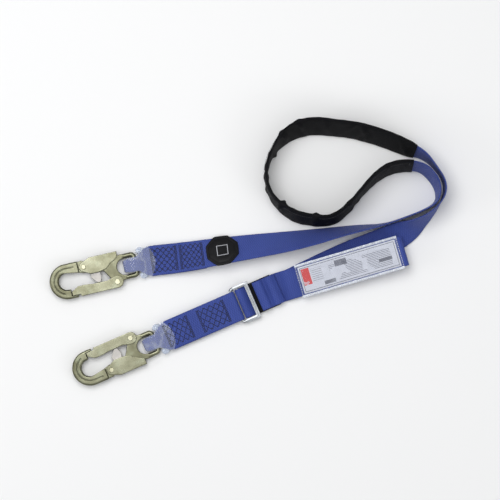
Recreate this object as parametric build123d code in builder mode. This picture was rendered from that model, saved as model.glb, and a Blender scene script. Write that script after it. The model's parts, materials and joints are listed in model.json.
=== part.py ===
"""Shock absorbing lanyard: two double-locking snap hooks on 44.5 mm webbing, a friction adjuster,
a tear-webbing energy absorber in a clear cover and an abrasion sleeve on the long leg.

It lies on a flat surface at z = 0, all sizes in millimetres, +Z up. The long leg stands on edge
where it turns, so every station of its route carries a tilt: 0 lies flat, 90 stands on edge.
"""
import os
from math import atan2, cos, degrees, radians, sin

from build123d import *

os.makedirs("parts", exist_ok=True)

# ---------------------------------------------------------------- driving sizes
WEB_W = 44.5  # webbing width
WEB_T = 2.0  # webbing thickness
PLY_GAP = 0.2  # air between two plies of webbing
FLOOR_LIFT = 0.8  # lowest edge of the leg above the floor
STATION = 10.0  # spacing of sections along the leg

HOOK_Z = 7.4  # mid-plane of both hooks above the floor
EYE_ROD_R = 3.5  # round section of the webbing eye
EYE_HALF = 15.5  # centre of the eye's end bar and side bars from the eye's centre
EYE_BEND_R = 4.5
EYE_HOLE_R = EYE_HALF - EYE_ROD_R
NOSE_T = 13.2  # thickness of the forged nose
WEB_PLATE_T = 6.0  # thickness of the forged middle
NOSE_X = 87.5  # centre of the nose's round end
NOSE_Y = 2.6
NOSE_R = 26.0
THROAT_R = 12.2
NOSE_ROOT_X = 68.0  # where the thick nose meets the thinner middle
LIP_T = 3.2
LIP_LENGTH = 9.2
GROOVE_W = 1.4
GROOVE_DEPTH = 0.9
GROOVE_R = THROAT_R + 6.6

PLATE_GAP = 0.3  # side play of the stamped plates on the forging
GATE_T = 2.0
GATE_PIVOT = (15.5, 19.1)
GATE_BOSS_R = 6.2
GATE_OUT_Y = 28.0
GATE_TIP_X = 84.2
TIP_GAP = 0.3
RIVET_R = 2.5
RIVET_HEAD_R = 4.0
RIVET_HEAD_T = 1.1
FIT = 0.05  # radial clearance of a rivet in its hole
LEVER_T = 1.6
LEVER_PIVOT = (59.5, -13.0)
LEVER_RIVET_R = 2.0
LEVER_HEAD_R = 3.4
LEVER_BOSS_R = 7.0
LEVER_BACK_Y = -23.4
LEVER_TAIL_X = 8.0  # end of the side plates
LEVER_THUMB_X = 17.5  # end of the web between them, clear of the eye
BLOCK_T = 5.8  # lock block, free between the gate's flanges
BODY_EDGE_Y = -16.2  # outer edge of the forging under the lever
BODY_INNER_Y = -4.2
SPRING_WIRE_R = 0.45
GATE_COIL_R = 3.9
LEVER_COIL_R = 2.0
LEVER_COIL_X = 30.0
SPRING_POCKET_R = 5.2
SPRING_POCKET_DEPTH = 3.6

LOOP_CLEAR = 0.4  # air between the eye's rod and what is wrapped on it
SLEEVE_WALL = 0.5  # clear sleeve on the webbing loops
SLEEVE_GAP = 0.1
PINCH_W = 20.5  # webbing width inside the eye
CLEAR_SLEEVE_REACH = 20.0

WEAR_W = 50.0  # abrasion sleeve, laid flat
WEAR_T = 6.0
WEAR_WALL = 1.2
WEAR_START = 352.0  # distance along the leg from the absorber
WEAR_LENGTH = 543.0
BADGE_R = 25.0
BADGE_T = 2.0
BADGE_AT = 130.0  # centre of the badge from the eye's bar
LEG_TAIL = 104.0  # folded-back ply at the first hook

ADJUST_ROD_R = 2.3
ADJUST_U = 12.2  # half distance between the adjuster's end bars
ADJUST_V = 25.6  # half distance between its side bars
ADJUST_BEND_R = 3.4
ADJUST_FLAT_T = 4.0  # flattened part of the rod frame
ADJUST_FLAT_U = 15.6  # outer edge of its far side
ADJUST_FLAT_V = 28.4  # outer edge of its long sides
ADJUST_FLAT_START = -7.0
SLIDE_BAR_R = 2.2
SLIDE_BAR_U = -1.5
SLIDE_TRAVEL = 1.2
SLOT_PIN_R = 0.95
HOOK_STRAP_TAIL = 56.0
KEEPER_LENGTH = 34.0
KEEPER_WALL = 1.1
KEEPER_U = 33.0
FOLD_LEFT_U = 21.0
FOLD_MID_U = 36.5
FOLD_RIGHT_U = 53.5

COVER_LENGTH = 156.0
COVER_WALL = 0.6
COVER_W = 48.5
PACK_PITCH = 4.2  # the absorber's free end lies over the leg
PACK_Z = 3.6
CARD_T = 0.4
CARD_W = 40.0
CARD_LENGTH = 148.0
TEAR_TAIL = 14.0
TEAR_HEAD = 8.0
FOLD_X = 3.0  # inner folds of the tear webbing, from the cover's end
SOFT_GAP = 0.15

# ---------------------------------------------------------------- places on the floor
HOOK_A_BAR = (-139.2, 68.2)
HOOK_A_HEADING = 193.0
HOOK_B_BAR = (-110.3, -45.4)
STRAP_HEADING = 23.5
HOOK_STRAP_LENGTH = 130.1
PACK_LEFT = (100.8, 42.7)
PACK_HEADING = 16.4
BEND_U = 56.0  # where the adjuster's strap turns towards the absorber

# route of the long leg: x, y, tilt, extra height; from the absorber to the first hook
LEG_ROUTE = [
    (89, 39, 0, 0), (119, 54, 0, 0), (151, 69, 0, 0), (180, 82, 4, 0), (211, 94, 12, 0),
    (236, 105, 18, 0), (255, 115, 34, 0), (272, 124, 59, 0), (289, 136, 76, 0), (305, 153, 87, 0),
    (315, 173, 92, 0), (313, 192, 93, 1), (299, 212, 94, 2), (282, 229, 104, 3), (261, 237, 115, 3.5),
    (236, 248, 117, 3.5), (207, 258, 117, 3.5), (179, 265, 116, 3.5), (151, 268, 116, 3.5),
    (126, 271, 118, 3.5), (103, 268, 118, 3.5), (82, 257, 112, 3.5), (67, 240, 100, 3.5),
    (54, 217, 92, 3.5), (52, 190, 90, 3.5), (61, 165, 84, 3.5), (79, 148, 76, 3.5), (100, 136, 72, 3.5),
    (122, 133, 72, 3.5), (144, 131, 73, 3.5), (163, 141, 75, 3.5), (179, 158, 80, 3.5),
    (194, 176, 81, 3.5), (214, 197, 76, 3.5), (236, 210, 72, 3.5), (260, 213, 72, 3.5),
    (282, 210, 73, 3), (299, 193, 74, 2), (305, 175, 82, 1), (302, 158, 90, 0), (285, 148, 90, 0),
    (257, 137, 90, 0), (225, 126, 89, 0), (191, 121, 78, 0), (158, 115, 70, 0), (120, 107, 58, 0),
    (76, 100, 46, 0), (32, 94, 38, 0), (-9, 88, 29, 0.5), (-49, 81, 18, 1), (-87, 76, 7, 1.5),
    (-119.7, 72.7, 0, 4), (*HOOK_A_BAR, 0, HOOK_Z - FLOOR_LIFT - WEB_T / 2),
]

PLATE_IN = WEB_PLATE_T / 2 + PLATE_GAP
PLY = WEB_T + PLY_GAP
LOOP_R = EYE_ROD_R + LOOP_CLEAR + SLEEVE_WALL + SLEEVE_GAP + WEB_T / 2
ROD_LOOP_R = ADJUST_ROD_R + LOOP_CLEAR + WEB_T / 2
ROLL_R = SLIDE_BAR_R + LOOP_CLEAR + WEB_T / 2
LOWER_PLY_Z = KEEPER_WALL + PLY_GAP + WEB_T / 2
UPPER_PLY_Z = LOWER_PLY_Z + PLY
ADJUST_Z = UPPER_PLY_Z + WEB_T / 2 + LOOP_CLEAR + ADJUST_ROD_R
FOLD_PLY_Z = UPPER_PLY_Z + WEB_T + KEEPER_WALL + 2 * PLY_GAP
TOP_PLY_Z = FOLD_PLY_Z + PLY


# ---------------------------------------------------------------- helpers
def finish(builder, name):
    """Label a finished piece and write its STEP file."""
    builder.part.label = name
    export_step(builder.part, f"parts/{name}.step")
    return builder.part


def unit(angle):
    """Horizontal unit vector at an angle in degrees."""
    return Vector(cos(radians(angle)), sin(radians(angle)), 0)


def spline_rows(points, per_span=8):
    """Quadratic B-spline, clamped at both ends, through rows of equal length."""
    rows = []
    last = len(points) - 2
    for i in range(1, last + 1):
        a = points[0] if i == 1 else [(p + q) / 2 for p, q in zip(points[i - 1], points[i])]
        b = points[-1] if i == last else [(p + q) / 2 for p, q in zip(points[i], points[i + 1])]
        for k in range(per_span):
            t = k / per_span
            rows.append([(1 - t) ** 2 * p + 2 * t * (1 - t) * q + t * t * r
                         for p, q, r in zip(a, points[i], b)])
    rows.append(list(points[-1]))
    return rows


class Route:
    """A strap's middle line: rows of x, y, z and tilt, read by distance."""

    def __init__(self, rows):
        self.rows = rows
        self.marks = [0.0]
        for p, q in zip(rows, rows[1:]):
            self.marks.append(self.marks[-1] + (Vector(*q[:3]) - Vector(*p[:3])).length)
        self.length = self.marks[-1]

    def row(self, distance):
        """Interpolated row at a distance from the start."""
        distance = min(max(distance, 0.0), self.length)
        i = 1
        while i < len(self.marks) - 1 and self.marks[i] < distance:
            i += 1
        t = (distance - self.marks[i - 1]) / (self.marks[i] - self.marks[i - 1])
        return [p + t * (q - p) for p, q in zip(self.rows[i - 1], self.rows[i])]

    def axes(self, distance):
        """Centre, travel, width and face directions at a distance."""
        row = self.row(distance)
        ahead = Vector(*self.row(distance + 2)[:3])
        behind = Vector(*self.row(distance - 2)[:3])
        travel = (ahead - behind).normalized()
        left = Vector(-travel.Y, travel.X, 0).normalized()
        raised = travel.cross(left)
        across = left * cos(radians(row[3])) + raised * sin(radians(row[3]))
        return Vector(*row[:3]), travel, across, travel.cross(across)

    def station(self, distance, offset, width, sense=1):
        """Section of one ply, lifted off the middle line by an offset along its face."""
        centre, travel, across, face = self.axes(distance)
        return centre + face * offset, travel * sense, across, width


def ribbon(stations, thick, mode=Mode.ADD):
    """Loft a flat strap through its stations, into the part being built."""
    sections = []
    for centre, travel, across, width in stations:
        with BuildSketch(Plane(origin=centre, x_dir=across, z_dir=travel)) as section:
            Rectangle(width, thick)
        sections.append(section.sketch)
    loft(sections, ruled=True, mode=mode)


def strap(name, stations, thick=WEB_T):
    """A plain strap in a node of its own."""
    with BuildPart() as piece:
        ribbon(stations, thick)
    return finish(piece, name)


def sleeve(name, stations, thick, wall, extra_w):
    """A flat tube round a strap: extra_w is its outer width beyond the strap's."""
    outer = [(c, t, a, w + extra_w) for c, t, a, w in stations]
    inner = [(c, t, a, w + extra_w - 2 * wall) for c, t, a, w in stations]
    first, last = inner[0], inner[-1]
    inner.insert(0, (first[0] - first[1] * wall, *first[1:]))
    inner.append((last[0] + last[1] * wall, *last[1:]))
    with BuildPart() as piece:
        ribbon(outer, thick)
        ribbon(inner, thick - 2 * wall, Mode.SUBTRACT)
    return finish(piece, name)


def steps(start, end, count):
    """Evenly spaced values from start to end, both included."""
    return [start + (end - start) * k / count for k in range(count + 1)]


def table(pairs, value):
    """Straight-line reading of a short table of (position, size) pairs."""
    if value <= pairs[0][0]:
        return pairs[0][1]
    for (x0, y0), (x1, y1) in zip(pairs, pairs[1:]):
        if value <= x1:
            return y0 + (y1 - y0) * (value - x0) / (x1 - x0)
    return pairs[-1][1]


EYE_SPREAD = [(0, LOOP_R), (6, LOOP_R - 0.2), (12, 4.0), (18, 2.6), (21, 2.0), (28, 1.3), (34, PLY / 2)]
EYE_WIDTH = [(0, PINCH_W), (3.5, PINCH_W), (10, 32), (17, 41), (24, WEB_W)]
ROD_SPREAD = [(0, ROD_LOOP_R), (3, ROD_LOOP_R - 0.2), (9, 2.0), (14, PLY / 2)]


def turn(centre, ahead, face, across, radius, width, start=90.0, end=-90.0, count=8):
    """Stations of a ply wrapped round a bar, from one angle to another in the plane of ahead and face."""
    wrapped = []
    for angle in steps(start, end, count):
        out = ahead * cos(radians(angle)) + face * sin(radians(angle))
        travel = ahead * sin(radians(angle)) - face * cos(radians(angle))
        wrapped.append((centre + out * radius, travel, across, width))
    return wrapped


# ---------------------------------------------------------------- snap hooks
def slab(plane, points, height, both=False, mode=Mode.ADD):
    """Extrude a straight-sided outline from a plane."""
    with BuildSketch(plane) as outline:
        with BuildLine():
            Polyline(*points, close=True)
        make_face()
    extrude(outline.sketch, amount=height, both=both, mode=mode)


def disc(plane, centre, radius, height, both=False, mode=Mode.ADD):
    """Extrude a round boss or hole from a plane."""
    with BuildSketch(plane) as round_outline:
        with Locations(centre):
            Circle(radius)
    extrude(round_outline.sketch, amount=height, both=both, mode=mode)


def hook_body(side, frame):
    """Forged body: thick nose with a lipped claw, thin middle and round-section eye."""
    recess_x = GATE_TIP_X + TIP_GAP + 0.4
    lip_in = NOSE_Y + NOSE_R - LIP_T
    throat_top = NOSE_Y + (THROAT_R ** 2 - (NOSE_X - recess_x) ** 2) ** 0.5
    with BuildPart() as body:
        with BuildSketch(frame):
            with BuildLine():
                Line((NOSE_ROOT_X, NOSE_Y - NOSE_R), (NOSE_X, NOSE_Y - NOSE_R))
                ThreePointArc((NOSE_X, NOSE_Y - NOSE_R), (NOSE_X + NOSE_R, NOSE_Y), (NOSE_X, NOSE_Y + NOSE_R))
                Line((NOSE_X, NOSE_Y + NOSE_R), (recess_x - LIP_LENGTH, NOSE_Y + NOSE_R))
                Line((recess_x - LIP_LENGTH, NOSE_Y + NOSE_R), (recess_x - LIP_LENGTH, lip_in))
                Line((recess_x - LIP_LENGTH, lip_in), (recess_x, lip_in))
                Line((recess_x, lip_in), (recess_x, throat_top))
                ThreePointArc((recess_x, throat_top), (NOSE_X + THROAT_R, NOSE_Y), (NOSE_X, NOSE_Y - THROAT_R))
                Line((NOSE_X, NOSE_Y - THROAT_R), (NOSE_ROOT_X, BODY_INNER_Y - 2.4))
                Line((NOSE_ROOT_X, BODY_INNER_Y - 2.4), (NOSE_ROOT_X, NOSE_Y - NOSE_R))
            make_face()
        extrude(amount=NOSE_T / 2, both=True)
        rims = body.edges().filter_by(GeomType.CIRCLE)
        fillet(rims, radius=2.6)
        for face in (1, -1):
            with BuildSketch(frame.offset(face * NOSE_T / 2)):
                with BuildLine():
                    Line((NOSE_ROOT_X + 6, NOSE_Y - GROOVE_R), (NOSE_X, NOSE_Y - GROOVE_R))
                    ThreePointArc((NOSE_X, NOSE_Y - GROOVE_R), (NOSE_X + GROOVE_R, NOSE_Y),
                                  (NOSE_X + GROOVE_R * cos(radians(70)), NOSE_Y + GROOVE_R * sin(radians(70))))
                trace(line_width=GROOVE_W)
            extrude(amount=-face * GROOVE_DEPTH, mode=Mode.SUBTRACT)
        with BuildSketch(frame):
            with BuildLine():
                Polyline((0, EYE_HOLE_R), (0, EYE_HALF + EYE_ROD_R), (5, EYE_HALF + EYE_ROD_R), (10, 22.6),
                         (21.3, 17.4), (24.5, 12), (29.5, 3.2), (34.5, BODY_INNER_Y), (60, BODY_INNER_Y),
                         (NOSE_ROOT_X + 2, BODY_INNER_Y - 2.6), (NOSE_ROOT_X + 2, NOSE_Y - NOSE_R + 1),
                         (61, NOSE_Y - NOSE_R + 0.5), (49, BODY_EDGE_Y), (13, BODY_EDGE_Y),
                         (5, -EYE_HALF - EYE_ROD_R), (0, -EYE_HALF - EYE_ROD_R), (0, -EYE_HOLE_R))
                ThreePointArc((0, -EYE_HOLE_R), (EYE_HOLE_R, 0), (0, EYE_HOLE_R))
            make_face()
            with Locations(GATE_PIVOT):
                Circle(GATE_BOSS_R)
        extrude(amount=WEB_PLATE_T / 2, both=True)
        with BuildLine(frame) as eye:
            FilletPolyline((1, -EYE_HALF), (-EYE_HALF, -EYE_HALF), (-EYE_HALF, EYE_HALF), (1, EYE_HALF),
                           radius=EYE_BEND_R)
        with BuildSketch(Plane(origin=eye.line @ 0, z_dir=eye.line % 0)):
            Circle(EYE_ROD_R)
        sweep()
        disc(frame, GATE_PIVOT, RIVET_R + FIT, NOSE_T, both=True, mode=Mode.SUBTRACT)
        disc(frame, LEVER_PIVOT, LEVER_RIVET_R + FIT, NOSE_T, both=True, mode=Mode.SUBTRACT)
        pocket = frame.offset(WEB_PLATE_T / 2)
        disc(pocket, GATE_PIVOT, SPRING_POCKET_R, -SPRING_POCKET_DEPTH, mode=Mode.SUBTRACT)
    return finish(body, f"hook_body_{side}")


def gate(side, frame):
    """Stamped channel gate, solid at its tip, pivoting beside the eye."""
    outer_z = PLATE_IN + GATE_T
    tip = [(72, GATE_OUT_Y - LIP_T + 0.1), (GATE_TIP_X, GATE_OUT_Y - LIP_T + 0.1), (GATE_TIP_X, 19),
           (78.5, 15.3), (74, 12.8), (72, 12.6)]
    flange = [(GATE_PIVOT[0], GATE_OUT_Y), (72, GATE_OUT_Y), *tip, (62, 12.6), (52, 14.0), (30, 14.2),
              (22, 11.6), (GATE_PIVOT[0], 10.2)]
    back = [(GATE_PIVOT[0] - 2.5, GATE_OUT_Y - GATE_T), (GATE_PIVOT[0] - 2.5, GATE_OUT_Y - 0.2),
            (GATE_PIVOT[0], GATE_OUT_Y), (72, GATE_OUT_Y), (72, GATE_OUT_Y - GATE_T)]
    with BuildPart() as piece:
        for start in (PLATE_IN, -outer_z):
            slab(frame.offset(start), flange, GATE_T)
            disc(frame.offset(start), GATE_PIVOT, GATE_OUT_Y - GATE_PIVOT[1], GATE_T)
        slab(frame, back, outer_z, both=True)
        slab(frame, tip, outer_z, both=True)
        disc(frame, GATE_PIVOT, RIVET_R + FIT, NOSE_T, both=True, mode=Mode.SUBTRACT)
    return finish(piece, f"gate_{side}")


def rivet(name, frame, centre, shank_r, head_r, grip):
    """Headed rivet through a stack: grip is half the stack's thickness."""
    with BuildPart() as piece:
        disc(frame, centre, shank_r, grip + PLATE_GAP / 3, both=True)
        for face in (1, -1):
            level = face * (grip + PLATE_GAP / 3)
            disc(frame.offset(level), centre, head_r, face * RIVET_HEAD_T)
        crowns = piece.edges().filter_by(GeomType.CIRCLE).group_by(Axis.Z)
        fillet(crowns[0] + crowns[-1], radius=0.6 * RIVET_HEAD_T)
    return finish(piece, name)


def lock_lever(side, frame):
    """Stamped lever that clasps the spine: two side plates joined by the thumb web."""
    outline = [(62, -19.5), (49, LEVER_BACK_Y - LEVER_T), (LEVER_TAIL_X, LEVER_BACK_Y - LEVER_T),
               (LEVER_TAIL_X, -16.5), (14, -12.5), (21, -9), (27, -3.2), (38, -0.8), (51, -0.8), (62, -6.4)]
    thumb = [(LEVER_THUMB_X, LEVER_BACK_Y), (LEVER_THUMB_X, LEVER_BACK_Y - LEVER_T),
             (48, LEVER_BACK_Y - LEVER_T), (48, LEVER_BACK_Y)]
    with BuildPart() as piece:
        for start in (PLATE_IN, -PLATE_IN - LEVER_T):
            slab(frame.offset(start), outline, LEVER_T)
            disc(frame.offset(start), LEVER_PIVOT, LEVER_BOSS_R, LEVER_T)
        slab(frame, thumb, PLATE_IN + LEVER_T, both=True)
        disc(frame, LEVER_PIVOT, LEVER_RIVET_R + FIT, NOSE_T, both=True, mode=Mode.SUBTRACT)
    return finish(piece, f"lock_lever_{side}")


def lock_block(side, frame):
    """Block held between the lever's plates; its nose stands in the gate's channel."""
    root = [(38, BODY_INNER_Y + 0.6), (51, BODY_INNER_Y + 0.6), (51, -0.8), (38, -0.8)]
    nose = [(38, -2), (51, -2), (53, 4), (44.5, 13.6), (39.5, 13.6), (36.8, 6)]
    with BuildPart() as piece:
        slab(frame, root, PLATE_IN, both=True)
        slab(frame, nose, BLOCK_T / 2, both=True)
    return finish(piece, f"lock_block_{side}")


def coil(name, start, axis, radius, pitch, height):
    """Round-wire coil spring."""
    with BuildPart() as piece:
        with BuildLine():
            path = Helix(pitch=pitch, height=height, radius=radius, center=start, direction=axis)
        with BuildSketch(Plane(origin=path @ 0, z_dir=path % 0)):
            Circle(SPRING_WIRE_R)
        sweep(path=path, is_frenet=True)
    return finish(piece, name)


def snap_hook(side, frame):
    """All pieces of one hook, in the frame of its eye: X to the nose, Y to the gate."""
    hook_body(side, frame)
    gate(side, frame)
    lock_lever(side, frame)
    lock_block(side, frame)
    rivet(f"gate_rivet_{side}", frame, GATE_PIVOT, RIVET_R, RIVET_HEAD_R, PLATE_IN + GATE_T)
    rivet(f"lever_rivet_{side}", frame, LEVER_PIVOT, LEVER_RIVET_R, LEVER_HEAD_R, PLATE_IN + LEVER_T)
    pocket_floor = WEB_PLATE_T / 2 - SPRING_POCKET_DEPTH
    seat = frame.from_local_coords((*GATE_PIVOT, pocket_floor + SPRING_WIRE_R + 0.1))
    coil(f"gate_spring_{side}", seat, frame.z_dir, GATE_COIL_R, 1.1, 2.6)
    foot = frame.from_local_coords((LEVER_COIL_X, BODY_EDGE_Y - SPRING_WIRE_R - 0.15, 0))
    room = BODY_EDGE_Y - LEVER_BACK_Y - 2 * SPRING_WIRE_R - 0.3
    coil(f"lever_spring_{side}", foot, frame.y_dir * -1, LEVER_COIL_R, room / 4, room)


def hook_frame(bar, heading, up):
    """Frame of a hook's eye, from the place of its end bar and the way its nose points."""
    centre = Vector(*bar, HOOK_Z) + unit(heading) * EYE_HALF
    return Plane(origin=centre, x_dir=unit(heading), z_dir=(0, 0, up))


snap_hook("a", hook_frame(HOOK_A_BAR, HOOK_A_HEADING, 1))
snap_hook("b", hook_frame(HOOK_B_BAR, STRAP_HEADING + 180, -1))

# ---------------------------------------------------------------- long leg
leg_points = []
for x, y, tilt, extra in LEG_ROUTE:
    rest = WEB_W / 2 * abs(sin(radians(tilt))) + WEB_T / 2 * abs(cos(radians(tilt)))
    leg_points.append((x, y, FLOOR_LIFT + rest + extra, tilt))
leg = Route(spline_rows(leg_points))


def leg_offset(d):
    """Lift of the leg's upper ply off the middle line at a distance d from the eye's bar."""
    if d > LEG_TAIL:
        return table([(LEG_TAIL, PLY / 2), (LEG_TAIL + 25, 0)], d)
    return table(EYE_SPREAD, d)


NEAR = [34, 28, 24, 21, 18, 15, 12, 9, 6, 3.5]
far = [d for d in steps(leg.length, 40, round((leg.length - 40) / STATION))]
leg_marks = far + NEAR
upper = [leg.station(leg.length - d, leg_offset(d), table(EYE_WIDTH, d)) for d in leg_marks]
up = Vector(0, 0, 1)
ahead_a = unit(HOOK_A_HEADING)
wrap_a = turn(Vector(*HOOK_A_BAR, HOOK_Z), ahead_a, up, up.cross(ahead_a), LOOP_R, PINCH_W)
tail_marks = NEAR[::-1] + [d for d in far[::-1] if 40 <= d < LEG_TAIL]
lower = [leg.station(leg.length - d, -table(EYE_SPREAD, d), table(EYE_WIDTH, d), -1) for d in tail_marks]
strap("leg_webbing", upper + wrap_a + lower)

near_upper = [s for s, d in zip(upper, leg_marks) if d <= CLEAR_SLEEVE_REACH]
near_lower = [s for s, d in zip(lower, tail_marks) if d <= CLEAR_SLEEVE_REACH]
CLEAR_T = WEB_T + 2 * (SLEEVE_WALL + SLEEVE_GAP)
sleeve("loop_sleeve_a", near_upper + wrap_a + near_lower, CLEAR_T, SLEEVE_WALL, 2 * (SLEEVE_WALL + SLEEVE_GAP))

wear = [leg.station(leg.length - d, 0, WEB_W) for d in far
        if WEAR_START <= leg.length - d <= WEAR_START + WEAR_LENGTH]
sleeve("wear_sleeve", wear, WEAR_T, WEAR_WALL, WEAR_W - WEB_W)

badge_marks = [d for d in steps(BADGE_AT + BADGE_R * 0.98, BADGE_AT - BADGE_R * 0.98, 10)]
badge = []
for d in badge_marks:
    chord = 2 * (BADGE_R ** 2 - (d - BADGE_AT) ** 2) ** 0.5
    badge.append(leg.station(leg.length - d, leg_offset(d) + WEB_T + PLY_GAP + 0.3, chord))
strap("badge", badge, BADGE_T)

# ---------------------------------------------------------------- short strap to the second hook
left_bar = Vector(*HOOK_B_BAR, 0) + unit(STRAP_HEADING) * HOOK_STRAP_LENGTH
hook_route = Route([(left_bar.X, left_bar.Y, ADJUST_Z, 0), (*HOOK_B_BAR, HOOK_Z, 0)])
span = hook_route.length
top_marks = steps(3, 15, 4) + steps(20, span - 40, 6) + [span - d for d in NEAR]


def strap_spread(s):
    """Half distance between the two plies of the short strap, from the adjuster's bar."""
    return max(table(ROD_SPREAD, s), table(EYE_SPREAD, span - s))


def strap_width(s):
    """Width of the short strap, pinched inside the hook's eye."""
    return table(EYE_WIDTH, span - s)


top = [hook_route.station(s, strap_spread(s), strap_width(s)) for s in top_marks]
to_hook = unit(STRAP_HEADING + 180)
strap_across = up.cross(to_hook)
wrap_hook = turn(Vector(*HOOK_B_BAR, HOOK_Z), to_hook, up, strap_across, LOOP_R, PINCH_W)
wrap_rod = turn(Vector(left_bar.X, left_bar.Y, ADJUST_Z), to_hook, up, strap_across, ROD_LOOP_R, WEB_W,
                start=270, end=90)
under_hook = [s for s in top_marks[::-1] if s >= span - HOOK_STRAP_TAIL]
under_rod = [s for s in top_marks[::-1] if s <= HOOK_STRAP_TAIL]
low_hook = [hook_route.station(s, -strap_spread(s), strap_width(s), -1) for s in under_hook]
low_rod = [hook_route.station(s, -strap_spread(s), strap_width(s), -1) for s in under_rod]
strap("hook_strap", low_rod + wrap_rod + top + wrap_hook + low_hook)
near_top = [s for s, m in zip(top, top_marks) if span - m <= CLEAR_SLEEVE_REACH]
near_low = [s for s, m in zip(low_hook, under_hook) if span - m <= CLEAR_SLEEVE_REACH]
sleeve("loop_sleeve_b", near_top + wrap_hook + near_low, CLEAR_T, SLEEVE_WALL, 2 * (SLEEVE_WALL + SLEEVE_GAP))

# ---------------------------------------------------------------- adjuster
adjust_centre = left_bar + unit(STRAP_HEADING) * ADJUST_U + Vector(0, 0, ADJUST_Z)
adjuster = Plane(origin=adjust_centre, x_dir=unit(STRAP_HEADING), z_dir=(0, 0, 1))
with BuildPart() as adjuster_frame:
    with BuildLine(adjuster) as rod:
        for end in (1, -1):
            FilletPolyline((0, end * ADJUST_V), (end * ADJUST_U, end * ADJUST_V),
                           (end * ADJUST_U, -end * ADJUST_V), (0, -end * ADJUST_V), radius=ADJUST_BEND_R)
    with BuildSketch(Plane(origin=adjuster.from_local_coords((0, ADJUST_V, 0)), z_dir=adjuster.x_dir)):
        Circle(ADJUST_ROD_R)
    sweep()
    with BuildSketch(adjuster):
        with Locations(((ADJUST_FLAT_START + ADJUST_FLAT_U) / 2, 0)):
            Rectangle(ADJUST_FLAT_U - ADJUST_FLAT_START, 2 * ADJUST_FLAT_V)
        with Locations(((ADJUST_FLAT_START + ADJUST_U - ADJUST_ROD_R) / 2, 0)):
            Rectangle(ADJUST_U - ADJUST_ROD_R - ADJUST_FLAT_START, 2 * (ADJUST_V - ADJUST_ROD_R), mode=Mode.SUBTRACT)
    extrude(amount=ADJUST_FLAT_T / 2, both=True)
    slot_plane = Plane(origin=adjust_centre, x_dir=adjuster.x_dir, z_dir=adjuster.y_dir)
    with BuildSketch(slot_plane):
        with Locations((SLIDE_BAR_U + SLIDE_TRAVEL / 2, 0)):
            SlotCenterToCenter(SLIDE_TRAVEL + 0.2, 2 * (SLOT_PIN_R + FIT))
    extrude(amount=ADJUST_V + 2 * ADJUST_ROD_R, both=True, mode=Mode.SUBTRACT)
finish(adjuster_frame, "adjuster_frame")

bar_plane = Plane(origin=adjuster.from_local_coords((SLIDE_BAR_U, 0, 0)), x_dir=adjuster.x_dir,
                  z_dir=adjuster.y_dir)
with BuildPart() as slide_bar:
    with BuildSketch(bar_plane):
        Circle(SLIDE_BAR_R)
    extrude(amount=ADJUST_V - ADJUST_ROD_R - LOOP_CLEAR, both=True)
    with BuildSketch(bar_plane):
        Circle(SLOT_PIN_R)
    extrude(amount=ADJUST_V + 0.5 * ADJUST_ROD_R, both=True)
finish(slide_bar, "adjuster_bar")


def adjuster_plan(u):
    """Floor point and heading of the adjuster's strap, at a distance u from the adjuster's centre."""
    straight = Vector(adjust_centre.X, adjust_centre.Y) + unit(STRAP_HEADING) * min(u, BEND_U)
    if u <= BEND_U:
        return straight, STRAP_HEADING
    gap = Vector(*PACK_LEFT) - straight
    heading = degrees(atan2(gap.Y, gap.X))
    if u <= BEND_U + gap.length:
        return straight + unit(heading) * (u - BEND_U), heading
    return Vector(*PACK_LEFT) + unit(PACK_HEADING) * (u - BEND_U - gap.length), PACK_HEADING


def level_stations(points, plan):
    """Stations of an untilted strap through (u, z) points, kept square to the floor plan."""
    placed = [plan(u)[0] + Vector(0, 0, z) for u, z in points]
    stations = []
    for i, (u, _) in enumerate(points):
        ahead = placed[min(i + 1, len(points) - 1)]
        behind = placed[max(i - 1, 0)]
        stations.append((placed[i], (ahead - behind).normalized(), unit(plan(u)[1] + 90), WEB_W))
    return stations


def bend(u, z, radius, start, end, count=6):
    """(u, z) points of a ply turned back through an arc."""
    return [(u + radius * cos(radians(a)), z + radius * sin(radians(a))) for a in steps(start, end, count)]


pack_u = BEND_U + (Vector(*PACK_LEFT) - adjuster_plan(BEND_U)[0]).length
ENTRY_Z = PACK_Z + COVER_WALL + SOFT_GAP + PLY + WEB_T / 2
FOLD_R = (FOLD_PLY_Z - UPPER_PLY_Z) / 2
adjuster_path = [
    (pack_u + 24, ENTRY_Z + 24 * sin(radians(PACK_PITCH))), (pack_u + 12, ENTRY_Z + 12 * sin(radians(PACK_PITCH))),
    (pack_u, ENTRY_Z), (pack_u - TEAR_TAIL - 2, ENTRY_Z), (BEND_U + 4, LOWER_PLY_Z + 0.6),
    (BEND_U, LOWER_PLY_Z), (KEEPER_U, LOWER_PLY_Z), (ADJUST_U, LOWER_PLY_Z), (8, LOWER_PLY_Z + 0.2),
    (3, ADJUST_Z - ROLL_R - 0.7),
    *bend(SLIDE_BAR_U, ADJUST_Z, ROLL_R, 270, 90, 8),
    (1.0, ADJUST_Z + ROLL_R - 0.1), (3.9, ADJUST_Z + 1.9), (6.8, UPPER_PLY_Z + 2.5), (9.4, UPPER_PLY_Z + 0.5),
    (ADJUST_U, UPPER_PLY_Z), (KEEPER_U, UPPER_PLY_Z),
    *bend(FOLD_RIGHT_U, UPPER_PLY_Z + FOLD_R, FOLD_R, -90, 90),
    (KEEPER_U, FOLD_PLY_Z),
    *bend(FOLD_LEFT_U, FOLD_PLY_Z + PLY / 2, PLY / 2, 270, 90),
    (FOLD_MID_U, TOP_PLY_Z),
]
strap("adjuster_strap", level_stations(adjuster_path, adjuster_plan))

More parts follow.
